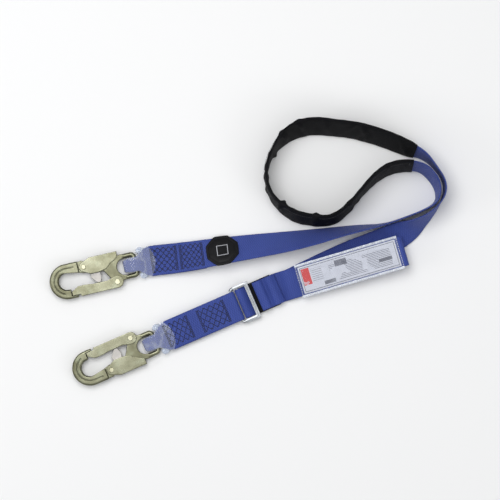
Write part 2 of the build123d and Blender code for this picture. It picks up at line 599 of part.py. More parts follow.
keeper = Plane(origin=adjuster_plan(KEEPER_U)[0], x_dir=unit(STRAP_HEADING + 90), z_dir=unit(STRAP_HEADING))
keeper_in_w = WEB_W + 2 * PLY_GAP
keeper_in_h = 2 * WEB_T + 3 * PLY_GAP
with BuildPart() as keeper_band:
    with BuildSketch(keeper):
        with Locations((0, KEEPER_WALL + keeper_in_h / 2)):
            RectangleRounded(keeper_in_w + 2 * KEEPER_WALL, keeper_in_h + 2 * KEEPER_WALL, KEEPER_WALL)
            Rectangle(keeper_in_w, keeper_in_h, mode=Mode.SUBTRACT)
    extrude(amount=KEEPER_LENGTH / 2, both=True)
finish(keeper_band, "keeper_band")

# ---------------------------------------------------------------- energy absorber
along = unit(PACK_HEADING) * cos(radians(PACK_PITCH)) + Vector(0, 0, sin(radians(PACK_PITCH)))
side_way = unit(PACK_HEADING + 90)
pack_side = Plane(origin=Vector(*PACK_LEFT, PACK_Z), x_dir=along, z_dir=side_way * -1)
ply_levels = [COVER_WALL + SOFT_GAP + WEB_T / 2 + PLY * k for k in (0, 2, 3, 4)]
inner_h = ply_levels[-1] + WEB_T / 2 + SOFT_GAP + CARD_T + SOFT_GAP - COVER_WALL

with BuildPart() as tear_webbing:
    with BuildSketch(pack_side):
        head_x = COVER_LENGTH + TEAR_HEAD - 2 * PLY
        for level, tail_x in zip(ply_levels, (-TEAR_TAIL, FOLD_X, FOLD_X, 2 * FOLD_X)):
            with Locations(((tail_x + head_x) / 2, level)):
                Rectangle(head_x - tail_x, WEB_T)
        folds = [(head_x, 0, 1, 1), (FOLD_X, 1, 2, -1), (head_x, 2, 3, 1)]
        for x, low, high, way in folds:
            middle = (ply_levels[low] + ply_levels[high]) / 2
            outer_r = (ply_levels[high] - ply_levels[low] + WEB_T) / 2
            with BuildLine():
                CenterArc((x, middle), outer_r, -90, 180 * way)
                CenterArc((x, middle), outer_r - WEB_T, -90, 180 * way)
                Line((x, middle - outer_r), (x, middle - outer_r + WEB_T))
                Line((x, middle + outer_r), (x, middle + outer_r - WEB_T))
            make_face()
    extrude(amount=WEB_W / 2, both=True)
finish(tear_webbing, "tear_webbing")

cover_end = Plane(origin=Vector(*PACK_LEFT, PACK_Z), x_dir=side_way, z_dir=along)
with BuildPart() as pack_cover:
    with BuildSketch(cover_end):
        with Locations((0, COVER_WALL + inner_h / 2)):
            RectangleRounded(COVER_W, inner_h + 2 * COVER_WALL, 1.5)
            Rectangle(COVER_W - 2 * COVER_WALL, inner_h, mode=Mode.SUBTRACT)
    extrude(amount=COVER_LENGTH)
finish(pack_cover, "pack_cover")

card_plane = cover_end.offset((COVER_LENGTH - CARD_LENGTH) / 2)
with BuildPart() as label_card:
    with BuildSketch(card_plane):
        with Locations((0, COVER_WALL + inner_h - SOFT_GAP - CARD_T / 2)):
            Rectangle(CARD_W, CARD_T)
    extrude(amount=CARD_LENGTH)
finish(label_card, "label_card")

print(f"leg length {leg.length:.0f} mm, short strap {span:.0f} mm between bars")
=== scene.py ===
import json
import logging
import math
from dataclasses import dataclass, field
from enum import Enum
from typing import Any, Callable, Iterable, Optional, Sequence

import bmesh
import bpy
import numpy as np
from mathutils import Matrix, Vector

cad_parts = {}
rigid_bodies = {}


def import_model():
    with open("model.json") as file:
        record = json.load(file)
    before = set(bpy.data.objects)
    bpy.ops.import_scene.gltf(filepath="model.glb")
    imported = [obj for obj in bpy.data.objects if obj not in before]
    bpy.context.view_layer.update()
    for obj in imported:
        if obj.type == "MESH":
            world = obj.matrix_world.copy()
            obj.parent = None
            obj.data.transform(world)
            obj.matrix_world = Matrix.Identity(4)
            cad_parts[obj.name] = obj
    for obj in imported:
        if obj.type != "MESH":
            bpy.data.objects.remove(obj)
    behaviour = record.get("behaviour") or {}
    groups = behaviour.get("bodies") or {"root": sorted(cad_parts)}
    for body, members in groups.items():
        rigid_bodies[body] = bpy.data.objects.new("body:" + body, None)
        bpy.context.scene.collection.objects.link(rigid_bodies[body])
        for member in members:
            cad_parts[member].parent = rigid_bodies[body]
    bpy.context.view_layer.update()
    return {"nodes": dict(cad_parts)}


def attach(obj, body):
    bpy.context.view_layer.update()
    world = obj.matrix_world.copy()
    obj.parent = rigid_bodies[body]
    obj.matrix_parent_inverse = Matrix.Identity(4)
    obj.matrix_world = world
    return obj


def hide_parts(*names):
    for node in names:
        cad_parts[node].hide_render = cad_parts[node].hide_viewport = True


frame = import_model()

LOG = logging.getLogger("lanyard")
MM = 0.001
WEB_W = 44.5 * MM
WEB_T = 2.0 * MM
PLY = 2.2 * MM
UP = np.array([0.0, 0.0, 1.0])
Row = Sequence[float]
Array = np.ndarray
Station = tuple[Array, Array, float]  # centre, width direction and width


class Body(str, Enum):
    """CAD bodies that the pieces ride on."""

    ROOT = "root"
    BAR = "slide_bar"
    HOOK_LEG = "hook_leg"
    HOOK_A = "hook_a"
    HOOK_B = "hook_b"
    GATE_A = "gate_a"
    GATE_B = "gate_b"
    LEVER_A = "lever_a"
    LEVER_B = "lever_b"


class Side(str, Enum):
    """The two snap hooks."""

    A = "a"
    B = "b"


# ---------------------------------------------------------------- shader maths
def _operator(operation: str, text: str, swap: bool = False) -> Callable:
    """Make a method of Value with two operands.

    Args:
        operation: the Math node's operation.
        text: the method's docstring.
        swap: whether the other operand comes first.

    Returns:
        The method.
    """
    def method(self: "Value", other: Any) -> "Value":
        pair = (other, self) if swap else (self, other)
        return self.math(operation, *pair)

    method.__doc__ = text
    return method


class Value:
    """A shader socket with arithmetic; each operator adds one Math node."""

    def __init__(self, shader: "Shader", socket: Any) -> None:
        """Wrap one output socket of a shader."""
        self.shader = shader
        self.socket = socket

    def math(self, operation: str, *others: Any) -> "Value":
        """Add a Math node.

        Args:
            operation: the node's operation.
            others: values or numbers for its inputs, in order.

        Returns:
            The node's result.
        """
        node = self.shader.node("ShaderNodeMath", {"operation": operation}, list(others))
        return Value(self.shader, node.outputs[0])

    __add__ = __radd__ = _operator("ADD", "Sum.")
    __mul__ = __rmul__ = _operator("MULTIPLY", "Product.")
    __sub__ = _operator("SUBTRACT", "Difference.")
    __rsub__ = _operator("SUBTRACT", "Difference, reflected.", swap=True)
    __gt__ = _operator("GREATER_THAN", "One where this value is greater, else zero.")
    __lt__ = _operator("LESS_THAN", "One where this value is less, else zero.")
    power = _operator("POWER", "This value to a power.")
    greatest = _operator("MAXIMUM", "The greater of two values.")
    least = _operator("MINIMUM", "The lesser of two values.")

    def sin(self) -> "Value":
        """Sine."""
        return self.math("SINE", self)

    def abs(self) -> "Value":
        """Absolute value."""
        return self.math("ABSOLUTE", self)

    def wave(self, size: float) -> "Value":
        """Triangle wave from 0 to size as this value runs on."""
        return self.math("PINGPONG", self, size)

    def clamp(self) -> "Value":
        """This value held between 0 and 1."""
        return self.least(1.0).greatest(0.0)


class Shader:
    """A material's node tree round one Principled BSDF."""

    def __init__(self, name: str) -> None:
        """Make an empty material of this name."""
        self.material = bpy.data.materials.new(name)
        self.material.use_nodes = True
        self.tree = self.material.node_tree
        self.tree.nodes.clear()
        self.surface = self.node("ShaderNodeBsdfPrincipled")
        self.out = self.node("ShaderNodeOutputMaterial", None, {"Surface": self.surface.outputs[0]})

    def node(self, kind: str, settings: Optional[dict] = None, inputs: Any = None) -> Any:
        """Add any node.

        Args:
            kind: the node's type name.
            settings: attributes set before its sockets.
            inputs: values, Values or sockets, by socket name or in order.

        Returns:
            The new node.
        """
        node = self.tree.nodes.new(kind)
        for key, value in (settings or {}).items():
            setattr(node, key, value)
        pairs = inputs.items() if isinstance(inputs, dict) else enumerate(inputs or [])
        for key, value in pairs:
            self.feed(node.inputs[key], value)
        return node

    def feed(self, socket: Any, value: Any) -> None:
        """Link a Value or socket to an input, or set a constant on it."""
        if isinstance(value, Value):
            value = value.socket
        if isinstance(value, bpy.types.NodeSocket):
            self.tree.links.new(value, socket)
        elif isinstance(value, (tuple, list)) and len(value) == 3 and socket.type == "RGBA":
            socket.default_value = (*value, 1)
        else:
            socket.default_value = value

    def set(self, **values: Any) -> None:
        """Feed sockets of the Principled BSDF; underscores stand for spaces."""
        for key, value in values.items():
            self.feed(self.surface.inputs[key.replace("_", " ")], value)

    def uv(self) -> tuple["Value", "Value"]:
        """Across and along positions on the piece, in metres, from its UV map."""
        node = self.node("ShaderNodeUVMap", {"uv_map": "cloth"})
        split = self.node("ShaderNodeSeparateXYZ", None, [node.outputs[0]])
        return Value(self, split.outputs[0]), Value(self, split.outputs[1])

    def place(self) -> Any:
        """Object coordinates socket."""
        return self.node("ShaderNodeTexCoord").outputs["Object"]

    def noise(self, scale: float, detail: float = 3.0, vector: Any = None) -> Value:
        """Noise from 0 to 1 at a scale, on object coordinates unless a vector is given."""
        node = self.node("ShaderNodeTexNoise", None,
                         {"Vector": vector or self.place(), "Scale": scale, "Detail": detail})
        return Value(self, node.outputs[0])

    def blend(self, factor: Any, low: Any, high: Any) -> Any:
        """Mix two colours by a factor and return the colour socket."""
        node = self.node("ShaderNodeMix", {"data_type": "RGBA"}, {0: factor, 6: low, 7: high})
        return node.outputs[2]

    def bump(self, height: Value, depth: float, strength: float = 1.0) -> None:
        """Raise the surface by a height from 0 to 1 over a depth in metres."""
        node = self.node("ShaderNodeBump", None,
                         {"Strength": strength, "Distance": depth, "Height": height})
        self.set(Normal=node.outputs[0])


# ---------------------------------------------------------------- finishes
@dataclass(frozen=True)
class WebbingFinish:
    """Woven polyester webbing: chevron twill, ribs across, a tight selvedge."""

    name: str = "blue_webbing"
    # deep is the darkest tone, reached in the weave's valleys as painted shade; face is the tone of
    # the raised yarn
    deep: tuple = (0.016, 0.029, 0.145)
    face: tuple = (0.052, 0.089, 0.385)
    rib: float = 3.2 * MM
    chevron: float = 5.6 * MM
    roughness: float = 0.62

    def build(self) -> bpy.types.Material:
        """Make the material."""
        s = Shader(self.name)
        across, along = s.uv()
        slant = (across + 0.1).wave(self.chevron / 2)
        twill = ((along + slant * 0.9) * (2 * math.pi / self.rib)).sin() * 0.5 + 0.5
        yarn = (across * (2 * math.pi / (0.62 * MM))).sin() * 0.5 + 0.5
        height = (twill * 0.72 + yarn * 0.28).clamp()
        worn = s.noise(26.0, 4.0)
        fuzz = s.noise(900.0, 2.0)
        edge = ((across.abs() - (WEB_W / 2 - 1.7 * MM)) * 900).clamp()
        # shade: the weave's height darkens its valleys (painted shade in the weave's recesses);
        # worn and fuzz vary the tone at random; edge darkens a band along each edge of the strap
        shade = (height * 0.62 + worn * 0.38 + fuzz * 0.2 - edge * 0.18).clamp()
        s.set(Base_Color=s.blend(shade, self.deep, self.face), Roughness=self.roughness,
              Sheen_Weight=0.06, Sheen_Roughness=0.4, Specular_IOR_Level=0.3)
        s.bump(height + fuzz * 0.3, 0.38 * MM, 0.9)
        return s.material


@dataclass(frozen=True)
class SleeveFinish:
    """Black abrasion sleeve or elastic: basket weave with a faint sheen."""

    name: str = "black_sleeve"
    dark: tuple = (0.0016, 0.0016, 0.0022)
    light: tuple = (0.0085, 0.0085, 0.0105)
    cell: float = 1.1 * MM
    roughness: float = 0.7

    def build(self) -> bpy.types.Material:
        """Make the material."""
        s = Shader(self.name)
        across, along = s.uv()
        turn = 2 * math.pi / self.cell
        weave = ((across * turn).sin() * (along * turn).sin()) * 0.5 + 0.5
        lint = s.noise(140.0, 4.0)
        # The weave's height also darkens its hollows: painted shade in the weave; lint varies the
        # tone at random.
        s.set(Base_Color=s.blend((weave * 0.55 + lint * 0.45).clamp(), self.dark, self.light),
              Roughness=self.roughness, Specular_IOR_Level=0.12)
        s.bump(weave + lint * 0.25, 0.2 * MM, 0.8)
        return s.material


@dataclass(frozen=True)
class PlatedFinish:
    """Plated steel: cloudy plating colour, fine scratches, soft hammer marks from forging."""

    name: str
    pale: tuple
    deep: tuple
    tint: tuple
    roughness: float = 0.34
    pits: float = 0.05 * MM
    metallic: float = 0.9

    def build(self) -> bpy.types.Material:
        """Make the material."""
        s = Shader(self.name)
        cloud = s.noise(38.0, 4.0)
        fine = s.noise(420.0, 3.0)
        stretched = s.node("ShaderNodeMapping", None,
                           {"Vector": s.place(), "Scale": (900.0, 90.0, 90.0)})
        scratch = s.noise(1.0, 2.0, stretched.outputs[0])
        base = s.blend(((cloud - 0.3) * 2.2).clamp(), self.deep, self.pale)
        film = s.blend(((s.noise(75.0, 2.0) - 0.5) * 4.0).clamp() * 0.55, base, self.tint)
        s.set(Base_Color=film, Metallic=self.metallic,
              Roughness=(fine * 0.16 + scratch * 0.12 + (self.roughness - 0.13)).clamp())
        s.bump(cloud * 0.7 + fine * 0.3, self.pits, 0.8)
        return s.material


@dataclass(frozen=True)
class ClearFinish:
    """Clear flexible plastic: mostly see-through, milky where it is creased."""

    name: str
    colour: tuple = (0.80, 0.85, 0.93)
    clear: float = 0.10
    milky_and_highlight: float = 0.20
    crease: float = 36.0
    depth: float = 0.45 * MM
    roughness: float = 0.12

    def build(self) -> bpy.types.Material:
        """Make the material."""
        s = Shader(self.name)
        fold = s.noise(self.crease, 3.0)
        # Pale opaque streaks on the creases: partly the film's own whitening, partly a painted
        # highlight that creased film catches.
        crease_highlight = (1.0 - (fold - 0.52).abs() * 12.0).clamp().power(2.0)
        s.set(Base_Color=self.colour, Roughness=self.roughness, Specular_IOR_Level=0.8,
              Alpha=(crease_highlight * (self.milky_and_highlight - self.clear) + self.clear).clamp())
        s.bump(fold, self.depth, 0.7)
        return s.material


@dataclass(frozen=True)
class PlainFinish:
    """Moulded plastic or thread: one colour broken by grain."""

    name: str
    low: tuple
    high: tuple
    roughness: float = 0.5
    grain: float = 600.0
    depth: float = 0.04 * MM

    def build(self) -> bpy.types.Material:
        """Make the material."""
        s = Shader(self.name)
        grain = s.noise(self.grain, 3.0)
        s.set(Base_Color=s.blend(grain, self.low, self.high),
              Roughness=(grain * 0.2 + (self.roughness - 0.1)).clamp())
        s.bump(grain, self.depth, 0.7)
        return s.material


@dataclass(frozen=True)
class CardFinish:
    """Plain card under the cover: thin dark frame, red block, empty ruled rows and grey panels."""

    name: str = "ruled_card"
    length: float = 148 * MM
    width: float = 40 * MM
    paper: tuple = (0.60, 0.62, 0.70)
    ink: tuple = (0.035, 0.04, 0.07)
    grey: tuple = (0.24, 0.25, 0.31)
    red: tuple = (0.55, 0.004, 0.004)

    @staticmethod
    def window(x: Value, y: Value, box: tuple[float, float, float, float]) -> Value:
        """Mask of a rectangle.

        Args:
            x: position along the card.
            y: position across the card.
            box: low x, high x, low y and high y in metres.

        Returns:
            One inside the rectangle, zero outside.
        """
        return (x > box[0]) * (x < box[1]) * (y > box[2]) * (y < box[3])

    def rim_box(self, x: Value, y: Value, inset: float) -> Value:
        """Mask of the card less a rim of this width."""
        half = self.width / 2
        return self.window(x, y, (inset, self.length - inset, inset - half, half - inset))

    def build(self) -> bpy.types.Material:
        """Make the material."""
        s = Shader(self.name)
        y, x = s.uv()
        rim, line = 2.2 * MM, 0.75 * MM
        frame_mask = self.rim_box(x, y, rim) - self.rim_box(x, y, rim + line)
        rows = ((y + self.width / 2).wave(1.15 * MM) < 0.34 * MM) * self.window(
            x, y, (44 * MM, 137 * MM, -14 * MM, 12 * MM)) * (s.noise(55.0, 1.0) > 0.46)
        ticks = x.wave(0.7 * MM) < 0.3 * MM
        panel = self.window(x, y, (54 * MM, 72 * MM, 6 * MM, 15 * MM)) + self.window(
            x, y, (33 * MM, 50 * MM, -15 * MM, -9.5 * MM)) + self.window(
            x, y, (118 * MM, 138 * MM, -6 * MM, -1.5 * MM))
        fine = ((y + self.width / 2).wave(1.5 * MM) < 0.25 * MM) * self.window(
            x, y, (17 * MM, 34 * MM, -6 * MM, 13 * MM))
        block = self.window(x, y, (3.6 * MM, 15.5 * MM, -8.5 * MM, 16 * MM))
        smudge = s.noise(90.0, 3.0)
        base = s.blend(smudge * 0.35, self.paper, self.grey)
        base = s.blend((rows + fine).clamp() * 0.95, base, self.ink)
        base = s.blend((panel * (ticks * 0.3 + 0.7)).clamp(), base, self.ink)
        base = s.blend(block * 1.0, base, s.blend((smudge > 0.62) * 0.5, self.red, self.paper))
        base = s.blend(frame_mask.clamp(), base, self.ink)
        s.set(Base_Color=base, Roughness=0.5)
        s.bump(s.noise(45.0, 2.0), 0.8 * MM, 0.6)
        return s.material


@dataclass(frozen=True)
class BadgeFinish:
    """Bare moulded disc with a pale square outline and a ring near its rim."""

    name: str = "black_badge"
    dark: tuple = (0.0018, 0.0018, 0.0024)
    light: tuple = (0.007, 0.007, 0.009)
    mark: tuple = (0.55, 0.56, 0.60)

    def build(self) -> bpy.types.Material:
        """Make the material."""
        s = Shader(self.name)
        across, along = s.uv()
        grain = s.noise(500.0, 3.0)
        reach = across.abs().greatest(along.abs())
        square = (reach > 7.4 * MM) * (reach < 8.3 * MM)
        base = s.blend(grain, self.dark, self.light)
        s.set(Base_Color=s.blend(square * 0.85, base, self.mark),
              Roughness=(grain * 0.2 + 0.4).clamp(), Specular_IOR_Level=0.2)
        s.bump(grain, 0.06 * MM, 0.8)
        return s.material


class Palette:
    """Every material of the lanyard, made once."""

    def __init__(self) -> None:
        """Build all finishes."""
        self.webbing = WebbingFinish().build()
        self.sleeve = SleeveFinish().build()
        self.elastic = SleeveFinish("black_elastic", cell=1.7 * MM).build()
        self.forged = PlatedFinish("forged_plating", (0.275, 0.275, 0.190), (0.110, 0.108, 0.066),
                                   (0.235, 0.255, 0.180), 0.33, 0.12 * MM, 0.95).build()
        self.stamped = PlatedFinish("stamped_plating", (0.310, 0.308, 0.222), (0.150, 0.148, 0.094),
                                    (0.275, 0.290, 0.212), 0.29, 0.07 * MM, 0.95).build()
        self.lock = PlatedFinish("grey_zinc", (0.46, 0.44, 0.42), (0.30, 0.29, 0.275),
                                 (0.50, 0.46, 0.43), 0.45, 0.05 * MM, 0.8).build()
        self.rivet = PlatedFinish("rivet_plating", (0.56, 0.55, 0.41), (0.36, 0.345, 0.23),
                                  (0.60, 0.59, 0.46), 0.28, 0.03 * MM).build()
        self.wire = PlatedFinish("spring_wire", (0.5, 0.5, 0.5), (0.3, 0.3, 0.3),
                                 (0.55, 0.53, 0.5), 0.3).build()
        self.bright = PlatedFinish("bright_zinc", (0.40, 0.42, 0.44), (0.22, 0.23, 0.25),
                                   (0.46, 0.47, 0.49), 0.30, 0.04 * MM).build()
        # The crease streaks set by these levels are partly the film's whitening and partly painted
        # highlight.
        self.film = ClearFinish("clear_film").build()
        self.ear = ClearFinish("bunched_film", (0.66, 0.74, 0.90), clear=0.46, milky_and_highlight=0.88,
                               crease=150.0, depth=1.2 * MM).build()
        self.cover = ClearFinish("clear_cover", clear=0.03, milky_and_highlight=0.09, crease=45.0,
                                 depth=0.5 * MM).build()
        self.hem = ClearFinish("cover_hem", clear=0.42, milky_and_highlight=0.72, crease=120.0).build()
        self.card = CardFinish().build()
        self.badge = BadgeFinish().build()
        self.dark_thread = PlainFinish("navy_thread", (0.003, 0.004, 0.016),
                                       (0.010, 0.012, 0.045), 0.55).build()
        self.white_thread = PlainFinish("white_thread", (0.60, 0.62, 0.68),
                                        (0.80, 0.81, 0.84), 0.6).build()
        self.black_thread = PlainFinish("black_thread", (0.010, 0.010, 0.012),
                                        (0.035, 0.035, 0.04), 0.5).build()


# ---------------------------------------------------------------- shapes
def length_of(v: Array) -> Array:
    """Lengths of an array's last axis, kept as a column."""
    return np.linalg.norm(v, axis=-1, keepdims=True)


def marks_of(points: Array) -> Array:
    """Distance of each point along its polyline."""
    return np.concatenate([[0], np.cumsum(length_of(np.diff(points, axis=0))[:, 0])])


def unit(angle: float) -> Array:
    """Horizontal unit vector at an angle in degrees."""
    return np.array([math.cos(math.radians(angle)), math.sin(math.radians(angle)), 0.0])


def hermite(x: Array, y: Array, at: Array) -> Array:
    """Smooth curve through rows of values.

    Args:
        x: rising positions of the rows.
        y: rows of values.
        at: positions to read.

    Returns:
        Values at those positions.
    """
    slope = np.gradient(y, x, axis=0)
    i = np.clip(np.searchsorted(x, at, side="right") - 1, 0, len(x) - 2)
    h = (x[i + 1] - x[i])
    t = (at - x[i]) / h
    if y.ndim > 1:
        h, t = h[:, None], t[:, None]
    return ((2 * t ** 3 - 3 * t ** 2 + 1) * y[i] + (t ** 3 - 2 * t ** 2 + t) * h * slope[i]
            + (3 * t ** 2 - 2 * t ** 3) * y[i + 1] + (t ** 3 - t ** 2) * h * slope[i + 1])


class Ribbon:
    """A strap's middle surface: rows of centre, width direction and width, read by distance."""

    def __init__(self, stations: Sequence[Station], spacing: float = 2.0 * MM) -> None:
        """Fit a smooth band through stations.

        Args:
            stations: (centre, width direction, width) rows in travel order.
            spacing: distance between the rows of the finished band.
        """
        centre = np.array([s[0] for s in stations])
        across = np.array([s[1] for s in stations])
        width = np.array([s[2] for s in stations])
        mark = marks_of(centre)
        count = max(2, int(mark[-1] / spacing))
        at = np.linspace(0, mark[-1], count + 1)
        self.centre = hermite(mark, centre, at)
        self.across = hermite(mark, across, at)
        self.width = np.interp(at, mark, width)
        self.s = marks_of(self.centre)
        self.length = self.s[-1]
        travel = np.gradient(self.centre, axis=0)
        self.travel = travel / length_of(travel)
        self.across -= self.travel * np.sum(self.across * self.travel, axis=1, keepdims=True)
        self.across /= length_of(self.across)
        self.face = np.cross(self.travel, self.across)

    def read(self, values: Array, s: Any) -> Array:
        """Rows of values read at distances."""
        return np.stack([np.interp(s, self.s, values[:, k]) for k in range(3)], axis=-1)

    def at(self, s: Any, across: Any, lift: Any) -> Array:
        """Points at distances, positions across and lifts off the middle surface."""
        s = np.clip(np.asarray(s, float), 0, self.length)
        centre, side, face = (self.read(v, s) for v in (self.centre, self.across, self.face))
        return centre + side * np.asarray(across)[..., None] + face * np.asarray(lift)[..., None]

    def face_at(self, s: float) -> Array:
        """Outward direction of the strap's face at a distance."""
        v = self.read(self.face, s)
        return v / np.linalg.norm(v)


def show(obj: bpy.types.Object) -> bpy.types.Object:
    """Link an object to the scene and return it."""
    bpy.context.scene.collection.objects.link(obj)
    return obj


def make_mesh(name: str, verts: Array, faces: Iterable[Sequence[int]], uv: Optional[Array] = None,
              smooth: float = 50.0) -> bpy.types.Object:
    """Mesh object from arrays.

    Args:
        name: object name.
        verts: vertex positions.
        faces: vertex index lists.
        uv: across and along positions for each vertex, or None.
        smooth: edge angle in degrees above which an edge stays sharp.

    Returns:
        The object, linked to the scene.
    """
    mesh = bpy.data.meshes.new(name)
    mesh.from_pydata([tuple(v) for v in verts], [], [tuple(int(i) for i in f) for f in faces])
    if uv is not None:
        layer = mesh.uv_layers.new(name="cloth")
        index = np.empty(len(mesh.loops), dtype=np.int64)
        mesh.loops.foreach_get("vertex_index", index)
        layer.data.foreach_set("uv", np.asarray(uv, float)[index].astype(np.float32).ravel())
    mesh.shade_smooth()
    mesh.set_sharp_from_angle(angle=math.radians(smooth))
    return show(bpy.data.objects.new(name, mesh))


def grid_faces(rows: int, columns: int, closed: bool = True) -> list[tuple[int, int, int, int]]:
    """Quads of a swept grid whose columns close on themselves if closed."""
    last = columns if closed else columns - 1
    return [(i * columns + j, i * columns + (j + 1) % columns,
             (i + 1) * columns + (j + 1) % columns, (i + 1) * columns + j)
            for i in range(rows - 1) for j in range(last)]


def strap_profile(width: float, thick: float, top: int = 8) -> Array:
    """Closed outline of a webbing ply, (across, lift) anticlockwise seen against the travel.

    Args:
        width: ply width.
        thick: ply thickness.
        top: number of spans across each face.

    Returns:
        Outline points.
    """
    half, rim = width / 2, thick * 0.45
    upper = [(x, thick / 2) for x in np.linspace(half - rim, rim - half, top + 1)]
    lower = [(x, -thick / 2) for x in np.linspace(rim - half, half - rim, top + 1)]
    bends = [(rim * (1 - math.sin(a)), thick / 2 * math.cos(a)) for a in (0.9, math.pi / 2, 2.24)]
    left = [(x - half, z) for x, z in bends]
    right = [(half - x, -z) for x, z in bends]
    return np.array(upper + left + lower + right)


def pillow_profile(width: float, thick: float, count: int = 36, square: float = 3.0) -> Array:
    """Closed outline of a soft flat tube: a superellipse of (across, lift) points."""
    angle = np.linspace(0, 2 * math.pi, count, endpoint=False)
    c, s = np.cos(angle), np.sin(angle)
    return np.stack([np.sign(c) * np.abs(c) ** (2 / square) * width / 2,
                     np.sign(s) * np.abs(s) ** (2 / square) * thick / 2], axis=1)


def sweep(name: str, ribbon: Ribbon, profile: Callable[[float, float], Array],
          span: tuple[float, float] = (0.0, 1e9), ripple: Optional[Callable] = None,
          wall: float = 0.0, warp: Optional[Callable] = None,
          spacing: float = 2.0 * MM) -> bpy.types.Object:
    """Closed sweep of an outline along a ribbon.

    Args:
        name: object name.
        ribbon: the band that the sweep follows.
        profile: outline at (distance, band width).
        span: first and last distance.
        ripple: extra lift at arrays of (distance, across), or None.
        wall: wall thickness of a tube, or 0 for a solid strap.
        warp: change of distance at (share of the span, across), or None.
        spacing: distance between sections.

    Returns:
        The mesh object, with across and along positions as UV.
    """
    low, high = span[0], min(span[1], ribbon.length)
    count = max(2, int((high - low) / spacing))
    rings, uvs = [], []
    shells = (0.0, -wall) if wall else (0.0,)
    for shell in shells:
        marks = np.linspace(low, high, count + 1)
        for k, s in enumerate(marks if shell == 0.0 else marks[::-1]):
            width = float(np.interp(s, ribbon.s, ribbon.width))
            outline = profile(s, width)
            if shell:
                reach = np.abs(outline).max(axis=0)
                outline = outline * (1 + shell / reach)
            distance = np.full(len(outline), s)
            if warp:
                distance = distance + warp((s - low) / (high - low), outline[:, 0] / (width / 2))
            lift = outline[:, 1]
            if ripple:
                way = lift / np.abs(lift).max() if wall else 1.0
                lift = lift + ripple(distance, outline[:, 0]) * way
            rings.append(ribbon.at(distance, outline[:, 0], lift))
            uvs.append(np.stack([outline[:, 0], distance], axis=1))
    columns = len(rings[0])
    verts, uv = np.concatenate(rings), np.concatenate(uvs)
    faces: list = grid_faces(len(rings), columns)
    last = (len(rings) - 1) * columns
    if wall:
        faces += [(last + j, last + (j + 1) % columns, (j + 1) % columns, j)
                  for j in range(columns)]
    else:
        faces += [tuple(range(columns - 1, -1, -1)), tuple(range(last, last + columns))]
    return make_mesh(name, verts, faces, uv)


def finish_piece(obj: bpy.types.Object, material: bpy.types.Material, body: Body,
                 nodes: Sequence[str] = ()) -> bpy.types.Object:
    """Dress a piece and hand it to its body.

    Args:
        obj: the piece.
        material: its finish.
        body: the body it rides on.
        slot: the record's material slot.
        nodes: CAD nodes it stands for.

    Returns:
        The same piece.
    """
    obj.data.materials.clear()
    obj.data.materials.append(material)
    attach(obj, body.value)
    if nodes:
        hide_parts(*nodes)
    LOG.info("%s: %d faces on %s", obj.name, len(obj.data.polygons), body.value)
    return obj


def freeze(obj: bpy.types.Object) -> None:
    """Turn a piece with modifiers into a plain mesh."""
    depsgraph = bpy.context.evaluated_depsgraph_get()
    plain = bpy.data.meshes.new_from_object(obj.evaluated_get(depsgraph))
    obj.modifiers.clear()
    obj.data = plain


def node_copy(node: str, name: str, voxel: float, rounds: int,
              smooth: float = 60.0) -> bpy.types.Object:
    """Softened copy of a CAD node: merged, remeshed and relaxed so its edges look forged.

    Args:
        node: the CAD node.
        name: name of the copy.
        voxel: remesh size, or 0 to keep the faces.
        rounds: smoothing rounds.
        smooth: edge angle that stays sharp, in degrees.

    Returns:
        The copy, a plain mesh.
    """
    source = frame["nodes"][node].data
    bm = bmesh.new()
    bm.from_mesh(source)
    bmesh.ops.remove_doubles(bm, verts=bm.verts, dist=2e-6)
    mesh = bpy.data.meshes.new(name)
    bm.to_mesh(mesh)
    bm.free()
    obj = show(bpy.data.objects.new(name, mesh))
    if voxel:
        remesh = obj.modifiers.new("remesh", "REMESH")
        remesh.mode, remesh.voxel_size, remesh.use_smooth_shade = "VOXEL", voxel, True
        relax = obj.modifiers.new("relax", "SMOOTH")
        relax.factor, relax.iterations = 0.5, rounds
        freeze(obj)
    obj.data.shade_smooth()
    obj.data.set_sharp_from_angle(angle=math.radians(smooth))
    return obj


